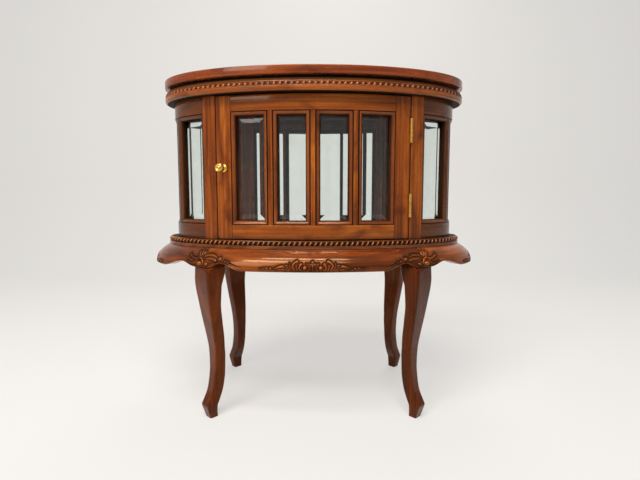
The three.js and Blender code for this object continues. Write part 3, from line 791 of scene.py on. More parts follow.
def stain_and_shade_group() -> bpy.types.NodeTree:
    """Darkens hollows with stain and painted shade, and lightens crests with rubbed lacquer and
    painted highlight.
    """
    inputs = {"Color": "Color", "StainAndShade": "Color", "WornAndLit": "Color"}
    inputs |= {"Hollow": "Float", "Crest": "Float"}
    sheet, given = new_group("carving_stain_and_shade", inputs, {"Color": "Color"})
    color = sheet.mix(sheet.math("MULTIPLY", given["Crest"], 0.6), given["Color"], given["WornAndLit"])
    sheet.add("NodeGroupOutput", {"Color": sheet.mix(given["Hollow"], color, given["StainAndShade"])})
    return sheet.tree


def handling_group() -> bpy.types.NodeTree:
    """Faint smears of handling: a roughness between two values that drifts over the surface."""
    inputs = {"Place": "Vector", "Smooth": "Float", "Rough": "Float", "Size": "Float"}
    outputs = {"Roughness": "Float", "Mask": "Float"}
    sheet, given = new_group("handling_marks", inputs, outputs)
    factors = {0: given["Place"], 3: given["Size"]}
    scaled = sheet.add("ShaderNodeVectorMath", factors, operation="SCALE").outputs[0]
    mask = sheet.span(sheet.noise(scaled, (1.0, 1.0, 1.0), 4.0, 0.4), 0.38, 0.68, 0.0, 1.0)
    spread = sheet.math("SUBTRACT", given["Rough"], given["Smooth"])
    rough = sheet.math("MULTIPLY_ADD", mask, spread, given["Smooth"])
    sheet.add("NodeGroupOutput", {"Roughness": rough, "Mask": mask})
    return sheet.tree


@dataclass(frozen=True)
class Shading:
    """The node groups that the finishes share."""

    grain: bpy.types.NodeTree
    stain: bpy.types.NodeTree
    handling: bpy.types.NodeTree


class Finish:
    """What all finishes share: a roughness that drifts with handling, under their own surface."""

    name: str
    smooth: float
    rough: float
    mark_size: float

    def material(self, shading: Shading) -> bpy.types.Material:
        """Builds the material on the marks of handling.

        Args:
            shading: the shared node groups.

        Returns:
            The material.
        """
        material, sheet = new_material(self.name)
        values = {"Place": sheet.object_place(), "Smooth": self.smooth, "Rough": self.rough}
        marks = sheet.group(shading.handling, values | {"Size": self.mark_size})
        sheet.add("ShaderNodeOutputMaterial", {"Surface": self.surface(sheet, shading, marks)})
        return material


@dataclass(frozen=True)
class WoodFinish(Finish):
    """Glossy lacquered mahogany, its colours as linear values."""

    name: str
    light: Color
    middle: Color
    dark: Color
    # stain is the colour of stain and of painted shade in hollows, joints and undersides;
    # worn_and_lit lightens crests with rubbing and painted highlight.
    stain: Color = (0.006, 0.003, 0.002)
    worn_and_lit: Color = (0.62, 0.17, 0.035)
    sheen_tint: Color = (1.0, 0.62, 0.3)
    smooth: float = 0.2
    rough: float = 0.34
    mark_size: float = 14.0
    sheen: float = 0.3
    coat: float = 0.5
    coat_roughness: float = 0.07
    pore_depth: float = 0.00012
    pore_strength: float = 0.35

    def surface(self, sheet: NodeSheet, shading: Shading, marks: bpy.types.NodeOutputs) -> Socket:
        """Grain, stain and painted shade in hollows, rubbing and painted highlight on crests, pores
        as bump, lacquer as a coat.

        Args:
            sheet: the material's nodes.
            shading: the shared node groups.
            marks: the marks of handling.

        Returns:
            The shader's output.
        """
        hollow, crest = (
            sheet.add("ShaderNodeAttribute", attribute_name=label).outputs["Fac"]
            for label in ("Hollow", "Crest")
        )
        grain = sheet.add("ShaderNodeUVMap", uv_map="Grain").outputs[0]
        colors = {"Light": self.light, "Middle": self.middle, "Dark": self.dark}
        wood = sheet.group(shading.grain, colors | {"Grain": grain})
        colors = {"Color": wood["Color"], "StainAndShade": self.stain, "WornAndLit": self.worn_and_lit}
        darkened = sheet.group(shading.stain, colors | {"Hollow": hollow, "Crest": crest})
        pores = {"Height": wood["Pores"], "Distance": self.pore_depth}
        pores |= {"Strength": self.pore_strength}
        dull = sheet.span(hollow, 0.1, 0.7, 0.0, 0.85)
        return sheet.principled({
            "Base Color": darkened["Color"],
            "Roughness": sheet.math("MAXIMUM", marks["Roughness"], dull),
            "Normal": sheet.add("ShaderNodeBump", pores, invert=True).outputs[0],
            "IOR": REFRACTION,
            "Specular IOR Level": self.sheen,
            "Specular Tint": self.sheen_tint,
            "Coat Weight": sheet.span(hollow, 0.0, 0.8, self.coat, 0.06),
            "Coat Roughness": self.coat_roughness,
            "Coat IOR": REFRACTION,
        })


@dataclass(frozen=True)
class MetalFinish(Finish):
    """Polished metal that dulls and darkens in patches."""

    name: str
    bright: Color
    dull: Color
    smooth: float
    rough: float
    mark_size: float = 90.0

    def surface(self, sheet: NodeSheet, shading: Shading, marks: bpy.types.NodeOutputs) -> Socket:
        """Bare metal between its bright and its dull colour.

        Args:
            sheet: the material's nodes.
            shading: the shared node groups.
            marks: the marks of handling.

        Returns:
            The shader's output.
        """
        color = sheet.mix(marks["Mask"], self.bright, self.dull)
        values = {"Base Color": color, "Roughness": marks["Roughness"], "Metallic": 1.0}
        return sheet.principled(values)


@dataclass(frozen=True)
class GlassFinish(Finish):
    """Clear plate glass with a faint green tint and a trace of smears."""

    name: str = "bevelled_glass"
    tint: Color = (0.93, 0.97, 0.95)
    smeared: Color = (0.9, 0.94, 0.92)
    smooth: float = 0.0
    rough: float = 0.02
    mark_size: float = 30.0

    def surface(self, sheet: NodeSheet, shading: Shading, marks: bpy.types.NodeOutputs) -> Socket:
        """Glass that lets rays from lamps pass.

        Args:
            sheet: the material's nodes.
            shading: the shared node groups.
            marks: the marks of handling.

        Returns:
            The shader's output.
        """
        color = sheet.mix(marks["Mask"], self.tint, self.smeared)
        values = {"Base Color": color, "Roughness": marks["Roughness"], "IOR": REFRACTION}
        glass = sheet.principled(values | {"Transmission Weight": 1.0})
        clear = sheet.add("ShaderNodeBsdfTransparent", {"Color": self.tint}).outputs[0]
        rays = sheet.add("ShaderNodeLightPath").outputs
        return sheet.blend(rays["Is Shadow Ray"], glass, clear)


# Each wood's light, middle and dark colour
RIM_WOOD = WoodFinish(
    "rim_mahogany", (0.42, 0.09, 0.016), (0.27, 0.05, 0.009), (0.085, 0.013, 0.003)
)
MOULDING_WOOD = WoodFinish(
    "moulding_mahogany", (0.55, 0.16, 0.028), (0.35, 0.086, 0.015), (0.11, 0.02, 0.004)
)
BASE_WOOD = WoodFinish(
    "base_mahogany", (0.32, 0.095, 0.024), (0.19, 0.05, 0.012), (0.06, 0.012, 0.003)
)
APRON_WOOD = WoodFinish(
    "apron_mahogany", (0.4, 0.09, 0.009), (0.22, 0.041, 0.005), (0.06, 0.01, 0.003),
    sheen_tint=(1.0, 0.46, 0.12), smooth=0.15, rough=0.25, sheen=0.5, coat=0.26,
)
LEG_WOOD = WoodFinish(
    "leg_mahogany", (0.18, 0.034, 0.004), (0.1, 0.016, 0.002), (0.034, 0.006, 0.002),
    sheen_tint=(1.0, 0.42, 0.12), coat=0.1,
)
DOOR_WOOD = WoodFinish(
    "door_mahogany", (0.54, 0.15, 0.018), (0.33, 0.074, 0.008), (0.1, 0.017, 0.003), coat=0.3
)
BEAD_WOOD = WoodFinish(
    "bead_mahogany", (0.38, 0.096, 0.015), (0.23, 0.05, 0.008), (0.08, 0.014, 0.003)
)
# Darker than the door's wood: painted shade on the end bays, which the rear bay shares.
SHADED_FRAME_WOOD = WoodFinish(
    "shaded_frame_mahogany", (0.22, 0.058, 0.013), (0.14, 0.034, 0.008), (0.05, 0.011, 0.003)
)
BOARD_WOOD = WoodFinish(
    "board_mahogany", (0.23, 0.05, 0.011), (0.15, 0.028, 0.007), (0.065, 0.01, 0.004)
)
BRASS = MetalFinish("polished_brass", (0.9, 0.56, 0.13), (0.6, 0.34, 0.08), 0.26, 0.4)
STEEL = MetalFinish("plated_steel", (0.62, 0.62, 0.6), (0.45, 0.45, 0.44), 0.25, 0.42)
CLEAR_GLASS = GlassFinish()


class Bench:
    """Makes pieces of skins, finishes them and puts them on their bodies."""

    def __init__(self) -> None:
        """Builds the shared node groups."""
        self.shading = Shading(grain_group(), stain_and_shade_group(), handling_group())
        self.materials: dict[str, bpy.types.Material] = {}

    def finish(self, finish: Finish) -> bpy.types.Material:
        """The material of a finish, built the first time that it is asked for."""
        if finish.name not in self.materials:
            self.materials[finish.name] = finish.material(self.shading)
        return self.materials[finish.name]

    def add(self, name: str, skins: list[Skin], finish: Finish, place: Place, *nodes: str,
            sharp_angle: float = 38.0) -> None:
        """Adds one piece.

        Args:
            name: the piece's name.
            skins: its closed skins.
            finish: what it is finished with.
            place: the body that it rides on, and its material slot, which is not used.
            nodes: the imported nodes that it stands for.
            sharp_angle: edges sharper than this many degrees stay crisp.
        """
        body, slot = place
        piece = mesh_piece(name, skins, sharp_angle)
        piece.data.materials.append(self.finish(finish))
        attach(piece, body.value)
        if nodes:
            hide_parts(*nodes)
        count = len(piece.data.polygons)
        LOG.info("%s: %d faces, %s, on %s", name, count, finish.name, body.value)

    def dress(self, node: str, finish: Finish) -> None:
        """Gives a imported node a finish."""
        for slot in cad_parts[node].material_slots:
            slot.material = self.finish(finish)
        LOG.info("%s: packed node, %s", node, finish.name)


@dataclass
class Part:
    """A sub-assembly: what shapes it, the levels that it keeps and the bench that makes it."""

    joinery: Joinery
    levels: Levels
    bench: Bench

    @property
    def oval(self) -> Oval:
        """The oval of the case's face."""
        return self.joinery.oval


# Sub-assemblies


@dataclass
class Top(Part):
    """The lift-off top: a stepped board in four lipping pieces."""

    rim_width: float = 60
    rim_joint_x: float = 247
    shadow_setback: float = 13
    spigot_depth: float = 6
    spigot_play: float = 1
    spigot_width: float = 20
    seam: float = 0.35
    rim_arris: float = 2.6
    board_arris: float = 0.5

    def build(self) -> None:
        """Makes the board and the four rim pieces."""
        self.build_board()
        self.build_rim()

    def build_board(self) -> None:
        """The board: spigot, shadow step and field, as one outline carried round the oval."""
        levels, arris = self.levels, self.board_arris
        spigot = REACH - CORNICE_WIDTH - self.spigot_play
        step, edge = REACH - self.shadow_setback, REACH - self.rim_width - self.seam
        middle, foot = spigot - self.spigot_width, levels.shadow - self.spigot_depth
        # The third column darkens the step's underside and face as painted shade in the gap under the
        # rim, and the field's edge beside the rim as a dark joint.
        outline = np.array([
            [middle, foot, 0], [spigot - arris, foot, 0], [spigot, foot + arris, 0],
            [spigot, levels.shadow, 0.5], [step - arris, levels.shadow, 1],
            [step, levels.shadow + arris, 1], [step, levels.rim, 1], [edge, levels.rim, 1],
            [edge, levels.board - arris, 0.6], [edge - arris, levels.board, 0],
            [middle, levels.board, 0],
        ])
        place = (Body.TOP, Slot.DARK_MAHOGANY)
        self.bench.add("top_board", [self.joinery.board(outline)], BOARD_WOOD, place, "top_panel")

    def build_rim(self) -> None:
        """The rim: a flat band with soft arrises, butted at four joints."""
        rim = self.levels.rim
        corners = block(REACH - self.rim_width, REACH, rim + 0.1, self.levels.board)
        radii = [self.board_arris, self.rim_arris, self.rim_arris, self.board_arris]
        loop = rounded(corners, radii, 5)
        # under is painted shade on the rim's underside.
        under = ease((rim + 0.7 - loop[:, 1]) / 0.5) * ease(REACH - 3 - loop[:, 0])
        turn = self.oval.turn_to_x(self.rim_joint_x, REACH)
        for index, (name, start, end) in enumerate(quarters(turn)):
            start, end = self.oval.travel_at(start), self.oval.travel_at(end)
            skin = self.joinery.bar(loop, start + self.seam / 2, end - self.seam / 2)
            skins = [skin.cut_from(index + 1).darkened(under)]
            self.bench.add(f"top_lipping_{name}", skins, RIM_WOOD, ON_TOP, f"top_rim_{name}")


@dataclass(frozen=True)
class Rope:
    """A rope moulding: half a round bar cut into slanting strands."""

    outset: float
    height: float
    radius: float
    pitch: float
    strand: float
    merge: float
    twist: float
    groove: float = 0.62
    steps: int = 14
    half_turn: float = 0.62 * math.pi
    end_back: float = 0.6
    root_share: float = 0.6
    edge_share: float = 0.4

    def skin(self, oval: Oval) -> Skin:
        """Works out the rope.

        The radius follows the strands: a strand's share runs from 0 to 1 across it and its
        back is round, sqrt(1 - ((2 share - 1) / strand)²), so that a narrow strand leaves a
        hole beside it. The share grows with travel over the pitch and with the twist round
        the bar. The grooves grow shallow towards the lower side by the merge.

        Args:
            oval: the oval that it goes round.

        Returns:
            The closed skin, with painted shade in its grooves and a painted highlight, with rubbing,
            on its strands.
        """
        girth = oval.girth()
        strands = round(girth / self.pitch)
        travel = np.linspace(-girth / 2, girth / 2, strands * self.steps + 1)[:, None]
        turn = np.linspace(-self.half_turn, self.half_turn, 17)[None, :]
        share = np.mod(travel / girth * strands - self.twist * turn / math.pi, 1)
        back = np.sqrt(np.clip(1 - ((2 * share - 1) / self.strand) ** 2, 0, 1))
        back[:, [0, -1]] = self.end_back
        back = 1 - (1 - self.merge * (1 - ease(turn / math.pi * 3 + 0.95))) * (1 - back)
        radius = self.radius * (1 - self.groove + self.groove * back)
        outset, height = radius * np.cos(turn), radius * np.sin(turn)
        flat = np.zeros((len(travel), 2))
        outset = self.outset + beside(outset, flat - self.root_share * self.radius, outset[:, :1])
        edge = flat + np.array([1, -1]) * self.edge_share * self.radius
        height = self.height + beside(height, edge, height[:, :1])
        # hollow is painted shade between the strands, and crest a painted highlight with rubbing on
        # their backs.
        hollow, crest = 1 - ease((back - 0.35) / 0.4), ease((back - 0.75) / 0.25)
        grain = grain_map(travel, np.linspace(0, 25, outset.shape[1]))
        masks = (beside(mask, flat, mask[:, :1]) for mask in (hollow, crest))
        return Skin(oval.bend(travel, outset, height), grain, True, *masks)


@dataclass
class Mouldings(Part):
    """The moulding above the case, and the floor of the case whose edge is the one below."""

    rope_seat: float = 3.2
    fascia_height: float = 10.2
    cornice_round: float = 5.5
    slope_height: float = 9
    slope_run: float = 8.2
    slope_setback: float = 0.8
    lower_fascia_height: float = 6.6
    ledge: float = 2
    rope_radius: float = 4.1
    base_rope_radius: float = 4.6
    floor_width: float = 90
    scarf_x: float = 206

    def build(self) -> None:
        """Makes both mouldings and their ropes."""
        self.build_cornice()
        self.build_floor()

    def build_cornice(self) -> None:
        """The upper moulding: a fascia rounded below, a seat for the rope and a slope."""
        low, high = self.levels.cornice, self.levels.shadow
        inner, seat = REACH - CORNICE_WIDTH, REACH - self.rope_seat
        foot = REACH - self.slope_setback
        fascia, slope = low + self.fascia_height, high - self.slope_height
        corners = [
            [inner, low], [REACH, low], [REACH, fascia], [seat, fascia + 0.4], [seat, slope - 0.4],
            [foot, slope], [foot - self.slope_run * 0.42, slope + self.slope_height * 0.6],
            [foot - self.slope_run, high], [inner, high],
        ]
        radii = [0.5, self.cornice_round, 0.7, 0.3, 0.3, 0.5, 2.4, 0.4, 0.5]
        loop = refined(rounded(corners, radii, 5), 4)
        outset, height = loop.T
        # Painted shade: under on the underside, which also holds stain, over along the top under the
        # board, and shade on the slope under its overhang.
        under = ease((low + 0.8 - height) / 0.6) * ease((REACH - 3 - outset) / 3)
        over = ease((height - high + 1.6) / 1.4)
        shade = 0.78 * ease((height - slope + 1) / 3) * (outset > seat - 12)
        stain = np.max([under, over, shade], axis=0) * (outset > -6)
        skins = [self.joinery.moulding(loop, stain)]
        self.bench.add("cornice_moulding", skins, MOULDING_WOOD, ON_CASE, "cornice")
        middle, radius = (fascia + slope) / 2, self.rope_radius
        self.add_rope("cornice", Rope(REACH - radius, middle, radius, pitch=11.6, strand=0.58,
                                      merge=0.9, twist=0.25))

    def build_floor(self) -> None:
        """The floor board with a fascia, a seat for the rope and a narrow ledge above it."""
        low, high = self.levels.apron, self.levels.case
        seat, fascia = REACH - self.rope_seat, low + self.lower_fascia_height
        middle = REACH - self.floor_width
        # The third column is painted shade: faintly under the fascia, behind the rope, and on the
        # ledge under the door.
        outline = np.array([
            [middle, low, 0], [REACH - 0.8, low, 0.3], [REACH, low + 0.8, 0],
            [REACH, fascia - 0.6, 0], [REACH - 0.6, fascia, 0], [seat, fascia + 0.3, 1],
            [seat, high - self.ledge, 1], [seat + 0.6, high - 1.3, 0], [seat + 0.2, high - 0.3, 0],
            [seat - 0.6, high, 0.2], [seat - 3, high, 0.9], [-4, high, 1], [-26, high, 0.2],
            [middle, high, 0],
        ])
        skins = [self.joinery.board(outline, (-self.oval.travel_at_x(self.scarf_x),))]
        self.bench.add("case_floor_board", skins, BASE_WOOD, ON_CASE, "base_board")
        radius, middle = self.base_rope_radius, (fascia + high) / 2 - 0.4
        self.add_rope("base", Rope(REACH - radius + 0.2, middle, radius, pitch=10.6, strand=0.46,
                                   merge=0.0, twist=0.42))

    def add_rope(self, name: str, rope: Rope) -> None:
        """Makes one rope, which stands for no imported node."""
        skins = [rope.skin(self.oval)]
        self.bench.add(f"{name}_rope", skins, MOULDING_WOOD, ON_CASE, sharp_angle=80)


@dataclass
class Bay:
    """One glazed bay: two rails, the bars between them and a bead round each pane."""

    name: str
    span: tuple[float, float]
    bar_count: int
    levels: tuple[float, float]
    face: float
    depth: float
    bar_depth: float
    place: Place = IN_FRAME
    finish: WoodFinish = SHADED_FRAME_WOOD
    bead_finish: WoodFinish = SHADED_FRAME_WOOD


@dataclass
class CaseFrame(Part):
    """Posts, rails, glazing bars and beads of the case and its door."""

    thickness: float = 22
    end_bay_length: float = 90
    post_width: float = 29.5
    rear_post_width: float = 72
    stile_width: float = 33
    door_gap: float = 1.5
    end_setback: float = 1
    end_rail_depth: float = 37
    end_bar_depth: float = 24
    rail_gap: float = 0.15
    bar_width: float = 12
    bar_setback: float = 1
    bead_setback: float = 0.9
    bead_lap: float = 0.3
    bead_reach: float = 9.6
    glass_depth: float = 12.2
    quirk: float = 1.5
    quirk_depth: float = 2.6
    arris: float = 1.3
    bar_round: float = 3.0

    def build(self) -> None:
        """Makes the uprights and then each bay."""
        self.build_uprights()
        for bay in self.bays():
            self.build_rails(bay)
            self.build_bars(bay)

    def travels(self) -> dict[str, float]:
        """The travel of each upright edge on the right-hand side, from the case's sizes."""
        outer = self.oval.half_length - self.end_bay_length
        door = outer - self.post_width - self.door_gap
        places = {
            "outer": (outer,), "inner": (outer - self.post_width,), "door": (door,),
            "stile": (door - self.stile_width,), "rear_outer": (outer, Side.REAR),
            "rear_inner": (outer - self.rear_post_width, Side.REAR),
        }
        return {key: self.oval.travel_at_x(*place) for key, place in places.items()}

    def bays(self) -> list[Bay]:
        """The door's bay, the rear one and the two ends."""
        at, girth, levels = self.travels(), self.oval.girth(), self.levels
        case, stile, rear = (levels.case, levels.cornice), at["stile"], at["rear_inner"]
        first, last = at["outer"], at["rear_outer"]
        flush = (0.0, self.thickness, self.thickness)
        deep = (-self.end_setback, self.end_rail_depth, self.end_bar_depth)
        return [
            Bay("door", (-stile, stile), 3, (levels.door_low, levels.door_high), *flush,
                ON_DOOR, DOOR_WOOD, BEAD_WOOD),
            Bay("rear", (rear, girth - rear), 3, case, *flush),
            Bay("right", (first, last), 2, case, *deep),
            Bay("left", (girth - last, girth - first), 2, case, *deep),
        ]

    def bars(self, bay: Bay) -> list[tuple[float, str]]:
        """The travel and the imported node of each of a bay's bars, in order of travel.

        Args:
            bay: the bay that they stand in.

        Returns:
            A travel and a node for each bar.
        """
        found, start = [], bay.span[0]
        for number in range(bay.bar_count):
            node = f"{bay.name}_mullion_{number + 1}"
            angle, _ = self.oval.locate(box_mm(node).mean(axis=0)[:2])
            travel = (self.oval.travel_at(angle) - start) % self.oval.girth() + start
            found.append((float(travel), node))
        return sorted(found)

    def build_uprights(self) -> None:
        """The four posts and the door's two stiles, as planks with their grain upright."""
        at, girth, levels = self.travels(), self.oval.girth(), self.levels
        uprights = [
            ("post_front_right", at["inner"], at["outer"]),
            ("post_rear_right", at["rear_outer"], at["rear_inner"]),
            ("post_rear_left", girth - at["rear_inner"], girth - at["rear_outer"]),
            ("post_front_left", -at["outer"], -at["inner"]),
            ("door_stile_left", -at["door"], -at["stile"]),
            ("door_stile_right", at["stile"], at["door"]),
        ]
        for index, (node, start, end) in enumerate(uprights):
            place, low, high = IN_FRAME, levels.case, levels.cornice
            if node.startswith("door"):
                place, low, high = ON_DOOR, levels.door_low, levels.door_high
            loop = rounded(block(start, end, -self.thickness, 0), self.arris, 3)
            skins = [self.joinery.upright(loop, low, high).cut_from(index * 1.7)]
            self.bench.add(f"{node}_plank", skins, DOOR_WOOD, place, node)

    def build_rails(self, bay: Bay) -> None:
        """The two rails of a bay, with their grain along them.

        Args:
            bay: the bay that they close.
        """
        bands = (("bottom", bay.levels[0], self.levels.rail_bottom),
                 ("top", self.levels.rail_top, bay.levels[1]))
        start, end = bay.span[0] + self.rail_gap, bay.span[1] - self.rail_gap
        for index, (which, low, high) in enumerate(bands):
            loop = rounded(block(-bay.depth, bay.face, low, high), self.arris, 3)
            skin = self.joinery.bar(loop, start, end, True)
            skins, node = [skin.cut_from(index * 2.3 + len(bay.name))], f"{bay.name}_rail_{which}"
            self.bench.add(f"{node}_plank", skins, bay.finish, bay.place, node)

    def bead_section(self, bay: Bay) -> Array:
        """The bead's section: a quarter round that falls to the glass, behind a quirk.

        Args:
            bay: the bay that it stands in.

        Returns:
            A closed loop of (inset, outset).
        """
        turn = np.linspace(0, QUARTER, 9)
        start, face, back = self.quirk, bay.face - self.bead_setback, 1 - bay.bar_depth
        run, fall = self.bead_reach - start, face + self.glass_depth - 0.6
        curve = np.stack([start + run * np.sin(turn), face - fall * (1 - np.cos(turn))], axis=-1)
        lap, floor = -self.bead_lap, face - self.quirk_depth
        rest = [
            [self.bead_reach, -self.glass_depth], [BEAD_WIDTH, -self.glass_depth],
            [BEAD_WIDTH, back], [lap, back], [lap, floor - 0.2], [start - 0.1, floor],
            [start, face - 0.5],
        ]
        return np.vstack([curve, rest, curve[:1]])

    def bead_shade(self, section: Array, face: float) -> Array:
        """Painted shade on a bead: in the quirk beside it, and down its slope to the glass.

        Args:
            section: the bead's section.
            face: the bay's outset.

        Returns:
            How dark each point of the section is.
        """
        inset, depth = section[:, 0], face - section[:, 1]
        quirk = (inset < self.quirk + 0.05) & (depth > self.bead_setback + 0.4)
        return np.maximum(quirk, 0.9 * ease((depth - 2.8) / 3.4))

    def build_bars(self, bay: Bay) -> None:
        """The bars of a bay and a mitred bead in each of its openings.

        Args:
            bay: the bay that they stand in.
        """
        half, bars = self.bar_width / 2, self.bars(bay)
        low, high = self.levels.rail_bottom, self.levels.rail_top
        for index, (middle, node) in enumerate(bars):
            front = bay.face - self.bar_setback
            corners = block(middle - half, middle + half, -bay.bar_depth, front)
            loop = rounded(corners, [0.5, 0.5, self.bar_round, self.bar_round], 6)
            skins = [self.joinery.upright(loop, low - 0.5, high + 0.5).cut_from(index + 5.5)]
            self.bench.add(f"{bay.name}_bar_{index + 1}", skins, bay.finish, bay.place, node)
        edges = [bay.span[0] - half, *(travel for travel, _ in bars), bay.span[1] + half]
        section = self.bead_section(bay)
        # The bead's darkening is painted shade.
        stain = self.bead_shade(section, bay.face)
        for index, (left, right) in enumerate(zip(edges, edges[1:])):
            skin = self.joinery.frame_bead(section, (left + half, right - half), (low, high))
            skins = [skin.cut_from(index + 3.1).darkened(stain)]
            name = f"{bay.name}_bead_{index + 1}"
            self.bench.add(name, skins, bay.bead_finish, bay.place, sharp_angle=30)


@dataclass
class Ironwork(Part):
    """The hinges, the knob, the catch and the panes."""

    hinge_x: float = 206.75
    hinge_length: float = 50.8
    knuckle_radius: float = 3
    knuckle_lift: float = 0.4
    knuckle_count: int = 5
    knuckle_play: float = 0.3
    knuckle_bevel: float = 0.5
    leaf_gap: float = 0.3
    leaf_thickness: float = 1.2
    leaf_width: float = 15
    leaf_round: float = 0.2
    knob_x: float = 189.5
    knob_radius: float = 10
    knob_projection: float = 24
    catch_width: float = 20
    catch_depth: float = 12
    catch_setback: float = 22.3
    catch_round: float = 1.2
    core_radius: float = 0.3
    foot_sink: float = 0.1
    screw_inset: float = 9

    # (radius, projection) from the foot to the head, as shares of the knob's sizes
    knob: tuple = (
        (0.02, 0), (0.72, 0), (0.8, 0.03), (0.8, 0.07), (0.6, 0.11), (0.42, 0.17), (0.36, 0.28),
        (0.42, 0.4), (0.62, 0.47), (0.9, 0.52), (1.0, 0.63), (0.97, 0.78), (0.84, 0.92),
        (0.64, 0.98), (0.5, 0.95), (0.34, 0.9), (0.22, 0.92), (0.02, 0.94),
    )
    screw: tuple = ((0.3, 0), (3.4, 0), (3.4, 0.5), (2.4, 1.2), (1.2, 1.4), (0.3, 1.4))

    def build(self) -> None:
        """Makes the metal pieces and dresses the panes."""
        for level in ("upper", "lower"):
            middle = box_mm(f"hinge_{level}_post_leaf").mean(axis=0)[2]
            self.build_leaf(f"hinge_{level}_door_leaf", Body.DOOR, middle)
            self.build_leaf(f"hinge_{level}_post_leaf", Body.CABINET, middle)
        self.build_knob()
        self.build_catch()
        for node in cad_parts:
            if "_pane_" in node:
                self.bench.dress(node, CLEAR_GLASS)

    def build_leaf(self, node: str, body: Body, middle: float) -> None:
        """One leaf of a hinge with its knuckles.

        Args:
            node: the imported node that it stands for.
            body: the body that it is screwed to.
            middle: the height of the hinge's middle.
        """
        side = -1 if body is Body.DOOR else 1
        travel, lift = self.oval.travel_at_x(self.hinge_x), self.knuckle_lift
        near = travel + side * self.leaf_gap / 2
        edges = sorted([near, near + side * self.leaf_thickness])
        low, radius, bevel = middle - self.hinge_length / 2, self.knuckle_radius, self.knuckle_bevel
        loop = rounded(block(*edges, -self.leaf_width, lift + 1), self.leaf_round, 2)
        skins = [self.joinery.upright(loop, low, low + self.hinge_length)]
        pitch = self.hinge_length / self.knuckle_count
        height, core = pitch - self.knuckle_play, self.core_radius
        profile = np.array([[core, 0], [radius - bevel, 0], [radius, bevel],
                            [radius, height - bevel], [radius - bevel, height], [core, height]])
        for index in range(0 if side > 0 else 1, self.knuckle_count, 2):
            rise = low + index * pitch + self.knuckle_play / 2
            foot = self.oval.bend(travel, radius + lift, rise)
            skins.append(turned(profile, foot, np.array([0, 0, 1]), 32))
        self.bench.add(f"{node}_brass", skins, BRASS, (body, Slot.BRASS), node)

    def build_knob(self) -> None:
        """The knob: a rose, a neck, and a cushioned head with a dimple."""
        angle = np.array(-math.acos(-self.knob_x / self.oval.half_length))
        foot = raised(self.oval.place(angle, 0.3), box_mm("door_knob").mean(axis=0)[2])
        sizes = np.array([self.knob_radius, self.knob_projection])
        profile = np.maximum(smooth_path(np.array(self.knob), 96) * sizes, [0.2, -1])
        skins = [turned(profile, foot, raised(self.oval.normal(angle), 0), 64)]
        self.bench.add("turned_brass_knob", skins, BRASS, (Body.DOOR, Slot.BRASS), "door_knob")

    def build_catch(self) -> None:
        """The catch: a soft-edged case with two screw heads."""
        travel, half = -self.oval.travel_at_x(self.hinge_x), self.catch_width / 2
        low, high = box_mm("door_catch")[:, 2]
        front = -self.catch_setback
        loop = rounded(block(front - self.catch_depth, front, low, high), self.catch_round, 4)
        skins = [self.joinery.bar(loop, travel - half, travel + half)]
        axis = -raised(self.oval.normal(self.oval.angle_at(travel)), 0)
        for height in (low + self.screw_inset, high - self.screw_inset):
            foot = self.oval.bend(travel, front - self.catch_depth, height)
            foot = foot - self.foot_sink * axis
            skins.append(turned(np.array(self.screw), foot, axis, 24))
        self.bench.add("sprung_catch", skins, STEEL, (Body.CABINET, Slot.STEEL), "door_catch")


# Carving


@dataclass(frozen=True)
class Stroke:
    """A tapered stroke with a round back, through knots of (along, rise, half width, height)."""

    knots: Knots
    count: int = 40

    def trail(self) -> Array:
        """The stroke's middle line, as points with their half width and height."""
        trail = smooth_path(np.array(self.knots), self.count)
        trail[:, 2] = np.maximum(trail[:, 2], 0.25)
        return trail


def carved(strokes: tuple[Knots, ...], beads: Knots = ()) -> tuple[Stroke, ...]:
    """Strokes through their knots, and round beads given by (along, rise, radius, height).

    Args:
        strokes: the knots of each stroke.
        beads: the sizes of each bead.

    Returns:
        The strokes.
    """
    dots = [((along, *rest), (along + 0.1, *rest)) for along, *rest in beads]
    return (*map(Stroke, strokes), *(Stroke(dot, 2) for dot in dots))


# A crescent round the apron's middle boss, from 110 to 250 degrees and slightly opening
CRESCENT = tuple(
    (16 + radius * math.cos(turn), 9.5 + radius * math.sin(turn), half, 1.7)
    for turn, radius, half in zip(
        np.radians(np.linspace(110, 250, 12)), np.linspace(9.2, 9, 12), np.linspace(1.1, 1.3, 12)
    )
)

